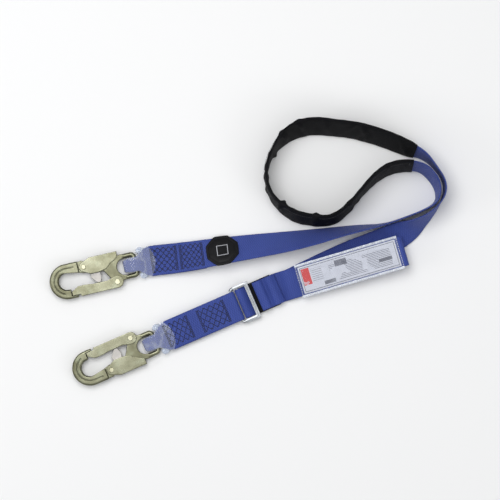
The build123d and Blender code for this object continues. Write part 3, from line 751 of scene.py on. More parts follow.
# ---------------------------------------------------------------- stitches
class StitchTree:
    """Geometry Nodes tree that sets one bent thread on every marked point."""

    def __init__(self) -> None:
        """Build the tree once, with its sizes as named inputs."""
        tree = bpy.data.node_groups.new("thread_stitches", "GeometryNodeTree")
        self.tree = tree
        face = tree.interface
        face.new_socket("Geometry", in_out="OUTPUT", socket_type="NodeSocketGeometry")
        self.ids: dict[str, str] = {}
        for label, kind in (("Geometry", "Geometry"), ("Thread radius", "Float"),
                            ("Arch", "Float"), ("Seed", "Int"), ("Thread", "Material")):
            socket = face.new_socket(label, in_out="INPUT", socket_type=f"NodeSocket{kind}")
            self.ids[label] = socket.identifier
        start, end = self.add("NodeGroupInput"), self.add("NodeGroupOutput")
        path = self.add("GeometryNodeCurveQuadraticBezier",
                        {"Resolution": 4, "Start": (-0.5, 0, 0), "End": (0.5, 0, 0)})
        arch = self.add("ShaderNodeCombineXYZ", {"Z": start.outputs["Arch"]})
        self.link(arch.outputs[0], path.inputs["Middle"])
        ring = self.add("GeometryNodeCurvePrimitiveCircle",
                        {"Resolution": 6, "Radius": start.outputs["Thread radius"]})
        tube = self.add("GeometryNodeCurveToMesh",
                        {"Curve": path.outputs[0], "Profile Curve": ring.outputs[0],
                         "Fill Caps": True})
        turn = self.add("FunctionNodeAxesToRotation", {"Primary Axis": self.named("along"),
                                                       "Secondary Axis": self.named("up")},
                        {"primary_axis": "X", "secondary_axis": "Z"})
        wobble = self.add("FunctionNodeRandomValue", {"Seed": start.outputs["Seed"]},
                          {"data_type": "FLOAT"})
        wobble.inputs[2].default_value, wobble.inputs[3].default_value = 0.92, 1.06
        size = self.add("ShaderNodeMath", {0: self.named("reach", "FLOAT"), 1: wobble.outputs[1]},
                        {"operation": "MULTIPLY"})
        scale = self.add("ShaderNodeCombineXYZ", {"X": size.outputs[0], "Y": 1.0, "Z": 1.0})
        points = self.add("GeometryNodeMeshToPoints", {"Mesh": start.outputs["Geometry"]})
        spread = self.add("GeometryNodeInstanceOnPoints",
                          {"Points": points.outputs[0], "Instance": tube.outputs[0],
                           "Rotation": turn.outputs[0], "Scale": scale.outputs[0]})
        real = self.add("GeometryNodeRealizeInstances", {"Geometry": spread.outputs[0]})
        dress = self.add("GeometryNodeSetMaterial", {"Geometry": real.outputs[0],
                                                     "Material": start.outputs["Thread"]})
        self.link(dress.outputs[0], end.inputs[0])

    def link(self, output: Any, socket: Any) -> None:
        """Join two sockets."""
        self.tree.links.new(output, socket)

    def add(self, kind: str, inputs: Optional[dict] = None, settings: Optional[dict] = None) -> Any:
        """Add a node with settings and inputs, linked or constant."""
        node = self.tree.nodes.new(kind)
        for key, value in (settings or {}).items():
            setattr(node, key, value)
        for key, value in (inputs or {}).items():
            if isinstance(value, bpy.types.NodeSocket):
                self.link(value, node.inputs[key])
            else:
                node.inputs[key].default_value = value
        return node

    def named(self, name: str, kind: str = "FLOAT_VECTOR") -> Any:
        """Output socket of a named attribute."""
        node = self.add("GeometryNodeInputNamedAttribute", {"Name": name}, {"data_type": kind})
        return node.outputs[0]


@dataclass
class Sewing:
    """Stitches gathered for one piece, then made in one pass."""

    name: str
    thread: bpy.types.Material
    radius: float = 0.34 * MM
    arch: float = 0.42 * MM
    seed: int = 7
    starts: list = field(default_factory=list)
    ends: list = field(default_factory=list)
    ups: list = field(default_factory=list)

    def run(self, ribbon: Ribbon, corners: Sequence[tuple[float, float]], lift: float,
            pitch: float = 3.2 * MM, fill: float = 0.8) -> None:
        """Sew along straight legs on a ribbon's face.

        Args:
            ribbon: the band sewn through.
            corners: (distance, across) of the run's corners.
            lift: height of the sewn face off the middle surface.
            pitch: distance from one stitch to the next.
            fill: share of the pitch that the thread shows.
        """
        for (s0, a0), (s1, a1) in zip(corners, corners[1:]):
            count = max(1, round(math.hypot(s1 - s0, a1 - a0) / pitch))
            for k in range(count):
                t0, t1 = (k + 0.5 - fill / 2) / count, (k + 0.5 + fill / 2) / count
                self.starts.append(ribbon.at(s0 + (s1 - s0) * t0, a0 + (a1 - a0) * t0, lift))
                self.ends.append(ribbon.at(s0 + (s1 - s0) * t1, a0 + (a1 - a0) * t1, lift))
                self.ups.append(ribbon.face_at(s0 + (s1 - s0) * (t0 + t1) / 2))

    def make(self, tree: StitchTree, body: Body) -> bpy.types.Object:
        """Turn the gathered stitches into one mesh on a body.

        Args:
            tree: the stitch tree.
            body: the body sewn.
            slot: the record's material slot.

        Returns:
            The threads as one piece.
        """
        start, end = np.array(self.starts), np.array(self.ends)
        mesh = bpy.data.meshes.new(self.name)
        mesh.from_pydata([tuple(p) for p in (start + end) / 2], [], [])
        for label, kind, value in (("along", "FLOAT_VECTOR", end - start),
                                   ("up", "FLOAT_VECTOR", np.array(self.ups)),
                                   ("reach", "FLOAT", length_of(end - start)[:, 0])):
            layer = mesh.attributes.new(label, kind, "POINT")
            layer.data.foreach_set("vector" if kind == "FLOAT_VECTOR" else "value",
                                   np.asarray(value, np.float32).ravel())
        obj = show(bpy.data.objects.new(self.name, mesh))
        modifier = obj.modifiers.new("stitches", "NODES")
        modifier.node_group = tree.tree
        modifier[tree.ids["Thread radius"]] = self.radius
        modifier[tree.ids["Arch"]] = self.arch
        modifier[tree.ids["Seed"]] = self.seed
        modifier[tree.ids["Thread"]] = self.thread
        freeze(obj)
        obj.data.shade_smooth()
        return finish_piece(obj, self.thread, body)


def box_stitch(sewing: Sewing, ribbon: Ribbon, span: tuple[float, float], half: float,
               columns: int, turns: int) -> None:
    """Sew one load-bearing block: cross rows at both ends and crossing zigzags between.

    Args:
        sewing: the threads of the piece.
        ribbon: the band sewn.
        span: first and last distance of the block.
        half: half width of the block.
        columns: zigzags side by side.
        turns: half waves of each zigzag.
    """
    low, high = span
    for s in (low, low + 1.8 * MM, high - 1.8 * MM, high):
        sewing.run(ribbon, [(s, -half), (s, half)], SEWN_FACE, 2.6 * MM, 0.85)
    pitch = 2 * half / columns
    for k in range(columns):
        middle = -half + pitch * (k + 0.5)
        for way in (1, -1):
            marks = np.linspace(low + 2.5 * MM, high - 2.5 * MM, turns + 1)
            corners = [(s, middle + way * pitch * 0.46 * (1 if i % 2 else -1))
                       for i, s in enumerate(marks)]
            sewing.run(ribbon, corners, SEWN_FACE, 3.0 * MM)


# ---------------------------------------------------------------- sub-assemblies
EYE_D = np.array([0, 6, 12, 18, 21, 28, 34, 104, 129, 5000]) * MM
EYE_LIFT = np.array([5.5, 5.3, 4.0, 2.6, 2.0, 1.3, 1.1, 1.1, 0, 0]) * MM
WIDE_D = np.array([0, 3.5, 10, 17, 24, 5000]) * MM
WIDE = np.array([20.5, 20.5, 32, 41, 44.5, 44.5]) * MM
NEAR = np.array([34, 28, 24, 21, 18, 15, 12, 9, 6, 3.5]) * MM
HOOK_Z = 7.4 * MM
BAR_GAP = 3.5 * MM  # distance of the eye loop's first station from the eye's bar
SEWN_FACE = WEB_T / 2 - 0.1 * MM  # height of a block's threads off the ply's middle
BLOCK_THREAD = 0.58 * MM
BEND_KINKS = ((171, 14), (199, 12), (233, -10), (314, 12), (369, 10))  # along, across in mm


def eye_wrap(bar: Array, ahead: Array, radius: float, width: float, start: float = 90.0,
             end: float = -90.0) -> list[Station]:
    """Stations of a ply wrapped round a bar.

    Args:
        bar: centre of the bar.
        ahead: direction in which the loop reaches.
        radius: radius of the ply's middle.
        width: ply width.
        start: first angle in degrees from ahead towards up.
        end: last angle.

    Returns:
        Stations of the wrap.
    """
    across = np.cross(UP, ahead)
    rows = []
    for angle in np.linspace(start, end, 13):
        a = math.radians(angle)
        rows.append((bar + (ahead * math.cos(a) + UP * math.sin(a)) * radius, across, width))
    return rows


def eye_loop(bar: Array, ahead: Array) -> list[Station]:
    """Stations of the long loop that fills a hook's eye.

    Args:
        bar: centre of the eye's bar.
        ahead: direction of the hook's nose.

    Returns:
        Stations from above the bar, round the loop's end, to below the bar.
    """
    half = [(0.0, 5.5, 20.5), (4.0, 5.4, 20.5), (8.0, 5.0, 20.2), (12.0, 4.2, 19.2),
            (15.2, 2.9, 17.6), (16.7, 1.5, 16.2)]
    rows = half + [(17.1, 0.0, 15.6)] + [(x, -z, w) for x, z, w in half[::-1]]
    across = np.cross(UP, ahead)
    return [(bar + ahead * x * MM + UP * z * MM, across, w * MM) for x, z, w in rows]


class Undulation:
    """Gentle unevenness of a laid strap: a few slow waves along and across it."""

    def __init__(self, seed: int, depth: float, pace: float = 60.0) -> None:
        """Draw the waves from a fixed seed."""
        rng = np.random.default_rng(seed)
        self.waves = [(rng.uniform(0.5, 1.6) * pace, rng.uniform(-60, 60), rng.uniform(0, 6.3))
                      for _ in range(5)]
        self.depth = depth

    def __call__(self, s: Array, across: Array) -> Array:
        """Extra lift at distances and positions across."""
        return sum(np.sin(s * k + across * j + p) for k, j, p in self.waves) * self.depth / 3


@dataclass
class LongLeg:
    """Long webbing leg: route, strap with its folded-back tail, threads, sleeve and badge."""

    palette: Palette
    stitches: StitchTree
    bar: tuple = (-139.2 * MM, 68.2 * MM, HOOK_Z)
    heading: float = 193.0
    floor_lift: float = 0.8 * MM
    tail: float = 104 * MM
    sleeve_start: float = 348 * MM
    sleeve_length: float = 544 * MM
    sleeve_w: float = 50 * MM
    sleeve_t: float = 6.2 * MM
    badge_at: float = 130 * MM
    badge_r: float = 25 * MM
    blocks: tuple = ((24, 62), (67, 101))  # near and far ends of the stitch blocks, in mm
    route: tuple = (
        (89, 39, 0, 0), (119, 54, 0, 0), (151, 69, 0, 0), (180, 82, 4, 0), (211, 94, 12, 0),
        (236, 105, 18, 0), (255, 115, 34, 0), (272, 124, 59, 0), (289, 136, 76, 0),
        (305, 153, 87, 0), (315, 173, 92, 0), (313, 192, 93, 1), (299, 212, 94, 2),
        (282, 229, 104, 3), (261, 237, 115, 3.5), (236, 248, 117, 3.5), (207, 258, 117, 3.5),
        (179, 265, 116, 3.5), (151, 268, 116, 3.5), (126, 271, 118, 3.5), (103, 268, 118, 3.5),
        (82, 257, 112, 3.5), (67, 240, 100, 3.5), (54, 217, 92, 3.5), (52, 190, 90, 3.5),
        (61, 165, 84, 3.5), (79, 148, 76, 3.5), (100, 136, 72, 3.5), (122, 133, 72, 3.5),
        (144, 131, 73, 3.5), (163, 141, 75, 3.5), (179, 158, 80, 3.5), (194, 176, 81, 3.5),
        (214, 197, 76, 3.5), (236, 210, 72, 3.5), (260, 213, 72, 3.5), (282, 210, 73, 3),
        (299, 193, 74, 2), (305, 175, 82, 1), (302, 158, 90, 0), (285, 148, 90, 0),
        (257, 137, 90, 0), (225, 126, 89, 0), (191, 121, 78, 0), (158, 115, 70, 0),
        (120, 107, 58, 0), (76, 100, 46, 0), (32, 94, 38, 0), (-9, 88, 29, 0.5), (-49, 81, 18, 1),
        (-87, 76, 7, 1.5), (-119.7, 72.7, 0, 4), (-139.2, 68.2, 0, 5.6),
    )

    def spline_points(self, points: Sequence[Row]) -> Array:
        """Read a NURBS spline through control points.

        Args:
            points: control points.

        Returns:
            Points along the spline, close together.
        """
        curve = bpy.data.curves.new("leg_route", "CURVE")
        curve.dimensions = "3D"
        spline = curve.splines.new("NURBS")
        spline.points.add(len(points) - 1)
        for point, row in zip(spline.points, points):
            point.co = (*row, 1.0)
        spline.order_u, spline.use_endpoint_u, spline.resolution_u = 3, True, 12
        obj = show(bpy.data.objects.new("leg_route", curve))
        depsgraph = bpy.context.evaluated_depsgraph_get()
        mesh = bpy.data.meshes.new_from_object(obj.evaluated_get(depsgraph))
        read = np.empty(len(mesh.vertices) * 3, np.float32)
        mesh.vertices.foreach_get("co", read)
        bpy.data.objects.remove(obj)
        bpy.data.meshes.remove(mesh)
        return read.reshape(-1, 3).astype(float)

    def lay(self) -> None:
        """Work out the leg's centreline, its tilt and the stations of both plies."""
        rows, tilts = [], []
        for x, y, tilt, extra in self.route:
            a = math.radians(tilt)
            rise = WEB_W / 2 * abs(math.sin(a)) + WEB_T / 2 * abs(math.cos(a))
            rows.append((x * MM, y * MM, self.floor_lift + rise + extra * MM))
            tilts.append((tilt / 100, 0, 0))
        self.line = self.spline_points(rows)
        tilt = np.radians(self.spline_points(tilts)[:, 0] * 100)
        mark = marks_of(self.line)
        self.total = float(mark[-1])
        travel = np.gradient(self.line, axis=0)
        travel /= length_of(travel)
        left = np.stack([-travel[:, 1], travel[:, 0], 0 * travel[:, 0]], axis=1)
        left /= length_of(left)
        raised = np.cross(travel, left)
        across = left * np.cos(tilt)[:, None] + raised * np.sin(tilt)[:, None]
        face = np.cross(travel, across)

        def read(v: Array, d: float) -> Array:
            """Value of an array at a distance from the eye's bar."""
            return np.array([np.interp(self.total - d, mark, v[:, k]) for k in range(3)])

        ahead = unit(self.heading)
        bar = np.array(self.bar)
        far = np.linspace(self.total, 40 * MM, 170)

        def station(d: float, lift: float, side: float) -> Station:
            """Station of a ply at a distance from the bar, a lift and a side of the middle."""
            centre = read(self.line, d) + read(face, d) * lift * side
            return centre, read(across, d) * side, float(np.interp(d, WIDE_D, WIDE))

        upper = [station(d, np.interp(d, EYE_D, EYE_LIFT), 1) for d in (*far, *NEAR)]
        tail = [*NEAR[::-1], *np.linspace(40 * MM, self.tail, 8)]
        lower = [station(d, np.interp(d, EYE_D[:7], EYE_LIFT[:7]), -1) for d in tail]
        wrap = eye_loop(bar, ahead)
        self.strap = Ribbon(upper + wrap + [(c, -a, w) for c, a, w in lower])
        self.upper_end = Ribbon(upper).length
        self.lower_start = Ribbon(upper + wrap).length
        self.middle = Ribbon([(read(self.line, d), read(across, d), WEB_W) for d in far])

    def s_of(self, d: float) -> float:
        """Distance along the strap of a point of the upper ply at a distance from the bar."""
        return self.upper_end - d + BAR_GAP

    def webbing(self) -> bpy.types.Object:
        """The strap itself, ribbed where it is pulled beside the badge."""
        sway = Undulation(3, 0.12 * MM)
        low, high = self.s_of(205 * MM), self.s_of(150 * MM)

        def lift(s: Array, across: Array) -> Array:
            """Unevenness with slanting ribs beside the badge."""
            near = np.clip(1 - np.abs((s - (low + high) / 2) / ((high - low) / 2)) ** 4, 0, 1)
            phase = (s * 0.9 + across * 0.35) * 2 * math.pi / (4.2 * MM)
            return sway(s, across) + near * 0.22 * MM * np.sin(phase)

        obj = sweep("leg_strap", self.strap, lambda s, w: strap_profile(w, WEB_T, 10), ripple=lift,
                    spacing=1.6 * MM)
        return finish_piece(obj, self.palette.webbing, Body.ROOT, ["leg_webbing"])

    def sewn_blocks(self) -> bpy.types.Object:
        """Two load-bearing stitch blocks through both plies at the hook."""
        sewing = Sewing("leg_stitches", self.palette.dark_thread, radius=BLOCK_THREAD)
        for near, away in self.blocks:
            span = (self.s_of(away * MM), self.s_of(near * MM))
            box_stitch(sewing, self.strap, span, 18.5 * MM, columns=4, turns=4)
        return sewing.make(self.stitches, Body.ROOT)

    def wear_sleeve(self) -> list[bpy.types.Object]:
        """Abrasion sleeve with kinks where it bends, a hem at each end and a sewn edge."""
        start = self.sleeve_start
        span = (start, start + self.sleeve_length)
        rng = np.random.default_rng(11)
        kinks = [(rng.uniform(*span), rng.uniform(5, 12) * MM, rng.uniform(0.6, 1.5) * MM,
                  rng.uniform(-18, 18) * MM, rng.uniform(-0.6, 0.6)) for _ in range(46)]
        kinks += [(start + at * MM, 8 * MM, 4.0 * MM, middle * MM, 0.15)
                  for at, middle in BEND_KINKS]

        def crumple(s: Array, across: Array) -> Array:
            """Folds across the sleeve, deepest at its kinks."""
            lift = 0.22 * MM * np.sin(s / (17 * MM) * 6.28 + across / (30 * MM))
            for at, reach, depth, middle, slant in kinks:
                x = (s - at - slant * across) / reach
                y = (across - middle) / (16 * MM)
                lift = lift + depth * np.exp(-x * x - y * y) * np.cos(x * 2.2)
            return np.maximum(lift, -0.5 * MM)

        def outline(s: float, _: float) -> Array:
            """Tube outline, slightly tighter at the two hems."""
            end = min(s - span[0], span[1] - s)
            tight = 1 - 0.04 * math.exp(-(end / (7 * MM)) ** 2)
            thick = self.sleeve_t * (0.94 + 0.1 * math.sin(s * 31))
            return pillow_profile(self.sleeve_w * tight, thick, 40, 3.4)

        tube = sweep("abrasion_sleeve", self.middle, outline, span, crumple, wall=0.8 * MM,
                     spacing=2.2 * MM)
        finish_piece(tube, self.palette.sleeve, Body.ROOT, ["wear_sleeve"])
        sewing = Sewing("sleeve_seam", self.palette.black_thread, radius=0.3 * MM)
        lift = self.sleeve_t / 2 * 0.98
        edge = 17.5 * MM
        corners = [(span[0] + 4 * MM, edge), (span[1] - 4 * MM, edge)]
        sewing.run(self.middle, corners, lift, 3.4 * MM)
        for s in (span[0] + 6 * MM, span[1] - 6 * MM):
            sewing.run(self.middle, [(s, -19 * MM), (s, 19 * MM)], lift, 3.0 * MM)
        return [tube, sewing.make(self.stitches, Body.ROOT)]

    def badge(self) -> bpy.types.Object:
        """Bare eight-sided disc with soft corners, a rim and a stepped face, bent to the strap."""
        centre = self.s_of(self.badge_at)
        steps = [(0.0, 1.9), (0.30, 1.95), (0.55, 1.9), (0.74, 1.85), (0.77, 1.5), (0.83, 1.5),
                 (0.86, 2.1), (0.94, 2.2), (0.985, 1.9), (1.0, 1.3), (1.0, 0.5), (0.985, 0.15),
                 (0.6, 0.1), (0.0, 0.1)]
        count = 96
        verts, uv = [], []
        for share, height in steps:
            for k in range(count):
                a = 2 * math.pi * k / count
                side = (a + math.pi / 8) % (math.pi / 4) - math.pi / 8
                edge = (math.cos(math.pi / 8) / math.cos(side)) ** 0.75
                r = self.badge_r * 1.02 * share * (edge if share > 0.5 else 1)
                ds, da = r * math.cos(a), r * math.sin(a)
                verts.append(self.strap.at(centre + ds, da, WEB_T / 2 + (0.15 + height) * MM))
                uv.append((da, ds))
        faces = [tuple(reversed(f)) for f in grid_faces(len(steps), count)]
        obj = make_mesh("badge_disc", np.array(verts), faces, np.array(uv), smooth=35)
        self.weld(obj)
        return finish_piece(obj, self.palette.badge, Body.ROOT, ["badge"])

    @staticmethod
    def weld(obj: bpy.types.Object) -> None:
        """Close a piece's poles by merging doubled vertices."""
        bm = bmesh.new()
        bm.from_mesh(obj.data)
        bmesh.ops.remove_doubles(bm, verts=bm.verts, dist=1e-6)
        bmesh.ops.recalc_face_normals(bm, faces=bm.faces)
        bm.to_mesh(obj.data)
        bm.free()

    def build(self) -> None:
        """Make every piece of the leg and declare the free strap."""
        self.lay()
        strap = self.webbing()
        threads = self.sewn_blocks()
        sleeve = self.wear_sleeve()
        disc = self.badge()


@dataclass
class LoopFilm:
    """Clear film shrunk on a webbing eye: a thin sleeve and two bunched ears."""

    palette: Palette
    side: Side
    body: Body
    ribbon: Ribbon
    upper_end: float
    lower_start: float
    reach: float = 27 * MM
    wall: float = 0.3 * MM
    ear_set_back: float = 6.8 * MM
    ear_half: tuple = (5.7 * MM, 5.4 * MM, 4.6 * MM)  # along, across and up
    ear_place: tuple = (18.2 * MM, -3.4 * MM)  # across and lift of an ear's centre

    def sleeve(self) -> bpy.types.Object:
        """Thin film over both plies, its ends bowed outwards."""
        span = (self.upper_end - self.reach, self.lower_start + self.reach * 0.9)

        def outline(s: float, width: float) -> Array:
            """Film outline a little outside the ply."""
            return pillow_profile(width + 1.6 * MM, WEB_T + 1.0 * MM, 32, 5.0)

        def bow(t: float, across: Array) -> Array:
            """Curved ends of the film."""
            return np.where(t < 0.5, 1, -1) * np.abs(1 - 2 * t) ** 6 * np.abs(across) ** 2 * 9 * MM

        obj = sweep(f"loop_film_{self.side.value}", self.ribbon, outline, span, wall=self.wall,
                    warp=bow)
        return finish_piece(obj, self.palette.film, self.body,
                            [f"loop_sleeve_{self.side.value}"])

    def ears(self) -> bpy.types.Object:
        """Bunched film beside the strap's shoulders, pleated like a twisted wrapper."""
        count, rows = 40, 22
        (long, wide, high), (side, lift) = self.ear_half, self.ear_place
        verts: list = []
        faces: list = []
        at = self.upper_end - self.ear_set_back
        for way in (1, -1):
            base = len(verts)
            centre = self.ribbon.at(at, way * side, lift)
            travel = self.ribbon.read(self.ribbon.travel, at)
            across = np.cross(UP, travel)
            for i in range(rows + 1):
                polar = math.pi * i / rows
                for k in range(count):
                    a = 2 * math.pi * k / count
                    pleat = 1 + math.sin(polar) * (0.11 * math.sin(7 * a + 2.5 * polar + way)
                                                   + 0.06 * math.sin(13 * a - 4 * polar))
                    point = (travel * math.sin(polar) * math.cos(a) * long * pleat
                             + UP * math.sin(polar) * math.sin(a) * high * pleat
                             + across * math.cos(polar) * wide)
                    verts.append(centre + point)
            faces += [tuple(base + j for j in f) for f in grid_faces(rows + 1, count)]
        obj = make_mesh(f"film_ears_{self.side.value}", np.array(verts), faces, smooth=180)
        LongLeg.weld(obj)
        return finish_piece(obj, self.palette.ear, self.body)

    def build(self) -> None:
        """Make the film and its ears."""
        self.sleeve()
        self.ears()


@dataclass
class SnapHook:
    """Double-locking snap hook: forged body, gate, lever, lock block, rivets and springs."""

    palette: Palette
    side: Side
    hook: Body
    gate: Body
    lever: Body
    voxel: float = 0.5 * MM

    def build(self) -> None:
        """Copy each node, soften its edges and plate it."""
        k, p = self.side.value, self.palette
        pieces = (
            ("hook_body", "forged_body", self.voxel, 7, p.forged, self.hook, "forged_steel"),
            ("gate", "stamped_gate", 0.42 * MM, 4, p.stamped, self.gate, "stamped_steel"),
            ("lock_lever", "stamped_lever", 0.4 * MM, 4, p.stamped, self.lever, "stamped_steel"),
            ("lock_block", "lock_wedge", 0.3 * MM, 4, p.lock, self.lever, "lock_steel"),
            ("gate_rivet", "gate_pin", 0.22 * MM, 4, p.rivet, self.hook, "rivet_steel"),
            ("lever_rivet", "lever_pin", 0.22 * MM, 4, p.rivet, self.hook, "rivet_steel"),
            ("gate_spring", "gate_coil", 0, 0, p.wire, self.hook, "spring_steel"),
            ("lever_spring", "lever_coil", 0, 0, p.wire, self.hook, "spring_steel"),
        )
        for node, name, voxel, rounds, finish, body, slot in pieces:
            obj = node_copy(f"{node}_{k}", f"{name}_{k}", voxel, rounds)
            finish_piece(obj, finish, body, [f"{node}_{k}"])


@dataclass
class HookStrap:
    """Short strap from the adjuster to the second hook."""

    palette: Palette
    stitches: StitchTree
    bar: tuple = (-110.3 * MM, -45.4 * MM, HOOK_Z)
    heading: float = 23.5
    span: float = 130.1 * MM
    rod_z: float = 8.2 * MM
    rod_loop_r: float = 3.7 * MM
    tail: float = 56 * MM
    blocks: tuple = ((18.5, 57), (73, 115))  # near and far ends of the stitch blocks, in mm

    def lay(self) -> None:
        """Work out the strap's closed run round the rod and the hook's eye."""
        ahead = unit(self.heading + 180)
        hook = np.array(self.bar)
        rod = np.array([hook[0], hook[1], self.rod_z]) - ahead * self.span
        across = np.cross(UP, ahead)
        rod_d = np.array([0, 3, 9, 14, 5000]) * MM
        rod_lift = np.array([3.7, 3.5, 2.0, 1.1, 1.1]) * MM

        def station(s: float, way: int) -> Station:
            """Upper or lower ply at a distance from the rod."""
            d = self.span - s
            lift = max(np.interp(s, rod_d, rod_lift), np.interp(d, EYE_D[:7], EYE_LIFT[:7]))
            centre = rod + (hook - rod) * (s / self.span) + UP * lift * way
            return centre, across * way, float(np.interp(d, WIDE_D, WIDE))

        marks = [*(np.array([3, 6, 9, 12, 15]) * MM), *np.linspace(20 * MM, self.span - 40 * MM, 7),
                 *(self.span - NEAR)]
        top = [station(s, 1) for s in marks]
        low_rod = [station(s, -1) for s in marks[::-1] if s <= self.tail]
        low_hook = [station(s, -1) for s in marks[::-1] if s >= self.span - self.tail]
        turned = [(c, -a, w) for c, a, w in low_rod]
        wrap_rod = eye_wrap(rod, ahead, self.rod_loop_r, WEB_W, 270, 90)
        wrap_hook = eye_loop(hook, ahead)
        self.strap = Ribbon([(c, across, w) for c, a, w in turned + wrap_rod]
                            + top + wrap_hook + [(c, -a, w) for c, a, w in low_hook])
        self.upper_end = Ribbon(turned + wrap_rod + top).length
        self.lower_start = Ribbon(turned + wrap_rod + top + wrap_hook).length

    def build(self) -> None:
        """Make the strap and its two stitch blocks."""
        self.lay()
        obj = sweep("hook_strap_webbing", self.strap, lambda s, w: strap_profile(w, WEB_T, 10),
                    ripple=Undulation(5, 0.06 * MM), spacing=1.4 * MM)
        finish_piece(obj, self.palette.webbing, Body.HOOK_LEG, ["hook_strap"])
        sewing = Sewing("hook_strap_stitches", self.palette.dark_thread, radius=BLOCK_THREAD)
        for near, away in self.blocks:
            span = (self.upper_end + BAR_GAP - away * MM, self.upper_end + BAR_GAP - near * MM)
            box_stitch(sewing, self.strap, span, 17.5 * MM, columns=3, turns=4)
        sewing.make(self.stitches, Body.HOOK_LEG)


@dataclass
class Adjuster:
    """Friction adjuster: bent rod frame, sliding bar, folded strap and elastic keeper."""

    palette: Palette
    stitches: StitchTree
    centre: tuple = (20.1976 * MM, 11.342 * MM)
    heading: float = 23.5
    rod_z: float = 8.2 * MM
    bend_u: float = 56 * MM
    pack_left: tuple = (100.8 * MM, 42.7 * MM)
    pack_heading: float = 16.4
    keeper_u: float = 33 * MM
    keeper_length: float = 34 * MM

    def plan(self, u: float) -> tuple[Array, float]:
        """Floor point and heading of the strap.

        Args:
            u: distance from the adjuster's centre.

        Returns:
            The point and the heading in degrees.
        """
        straight = np.array([*self.centre, 0.0]) + unit(self.heading) * min(u, self.bend_u)
        if u <= self.bend_u:
            return straight, self.heading
        gap = np.array([*self.pack_left, 0.0]) - straight
        reach = float(np.linalg.norm(gap))
        heading = math.degrees(math.atan2(gap[1], gap[0]))
        if u <= self.bend_u + reach:
            return straight + unit(heading) * (u - self.bend_u), heading
        beyond = unit(self.pack_heading) * (u - self.bend_u - reach)
        return np.array([*self.pack_left, 0.0]) + beyond, self.pack_heading

    def lay(self) -> None:
        """Stations of the strap: under the pack, round the bar and folded back as a stop."""
        gap = np.array([*self.pack_left, 0.0]) - self.plan(self.bend_u)[0]
        pack_u = (self.bend_u + float(np.linalg.norm(gap))) / MM
        lower, upper, fold, top = 2.3, 4.5, 8.0, 10.2
        rod, roll, entry = self.rod_z / MM, 3.6, 3.6 + 0.6 + 0.15 + 2.2 + 1.0
        sink = math.sin(math.radians(4.2))

        def bend(u: float, z: float, r: float, start: float, end: float, count: int = 8) -> list:
            """(u, z) points through an arc."""
            return [(u + r * math.cos(math.radians(a)), z + r * math.sin(math.radians(a)))
                    for a in np.linspace(start, end, count + 1)]

        path = [(pack_u + 24, entry + 24 * sink), (pack_u + 12, entry + 12 * sink),
                (pack_u, entry), (pack_u - 16, entry), (60, lower + 0.6), (56, lower),
                (44, lower), (33, lower), (20, lower), (12.2, lower), (8, lower + 0.2),
                (3, rod - roll - 0.7), *bend(-1.5, rod, roll, 270, 90),
                (1.0, rod + roll - 0.1), (3.9, rod + 1.9), (6.8, upper + 2.5), (9.4, upper + 0.5),
                (12.2, upper), (16, upper), (33, upper), (48, upper),
                *bend(53.2, (upper + fold) / 2 + 0.9, (fold - upper) / 2 + 0.9, -90, 90),
                (51, fold + 3.2), (47, fold + 4.3), (43, fold + 3.2), (40.6, fold + 0.9),
                (38.3, fold - 0.2), (33, fold), (25, fold),
                *bend(23.6, (fold + top) / 2 + 0.3, (top - fold) / 2 + 0.3, 270, 90),
                (26.2, top + 1.7), (29.8, top + 2.6), (33.2, top + 1.9), (35.6, top - 0.8)]
        rows = []
        for u, z in path:
            point, heading = self.plan(u * MM)
            rows.append((point + UP * z * MM, unit(heading + 90), WEB_W))
        self.strap = Ribbon(rows, 1.2 * MM)

    def keeper(self) -> bpy.types.Object:
        """Elastic band round both plies, ribbed along its length."""
        base, _ = self.plan(self.keeper_u)
        mid = base + UP * 3.4 * MM
        ahead, across = unit(self.heading), unit(self.heading + 90)
        start, end = mid - ahead * self.keeper_length / 2, mid + ahead * self.keeper_length / 2
        band = Ribbon([(point, across, 46.9 * MM) for point in (start, mid, end)], 0.4 * MM)
        obj = sweep("elastic_keeper", band, lambda s, w: pillow_profile(w, 6.8 * MM, 44, 7.0),
                    ripple=lambda s, a: 0.10 * MM * np.sin(s / (1.7 * MM) * 2 * math.pi),
                    wall=1.0 * MM, spacing=0.4 * MM)
        return finish_piece(obj, self.palette.elastic, Body.ROOT, ["keeper_band"])

    def build(self) -> None:
        """Make the adjuster's pieces."""
        self.lay()
        obj = sweep("adjuster_webbing", self.strap, lambda s, w: strap_profile(w, WEB_T, 10),
                    ripple=Undulation(9, 0.05 * MM), spacing=1.2 * MM)
        finish_piece(obj, self.palette.webbing, Body.ROOT, ["adjuster_strap"])
        self.keeper()
        for node, name, body in (("adjuster_frame", "rod_frame", Body.ROOT),
                                 ("adjuster_bar", "sliding_bar", Body.BAR)):
            copy = node_copy(node, name, 0.3 * MM, 3)
            finish_piece(copy, self.palette.bright, body, [node])


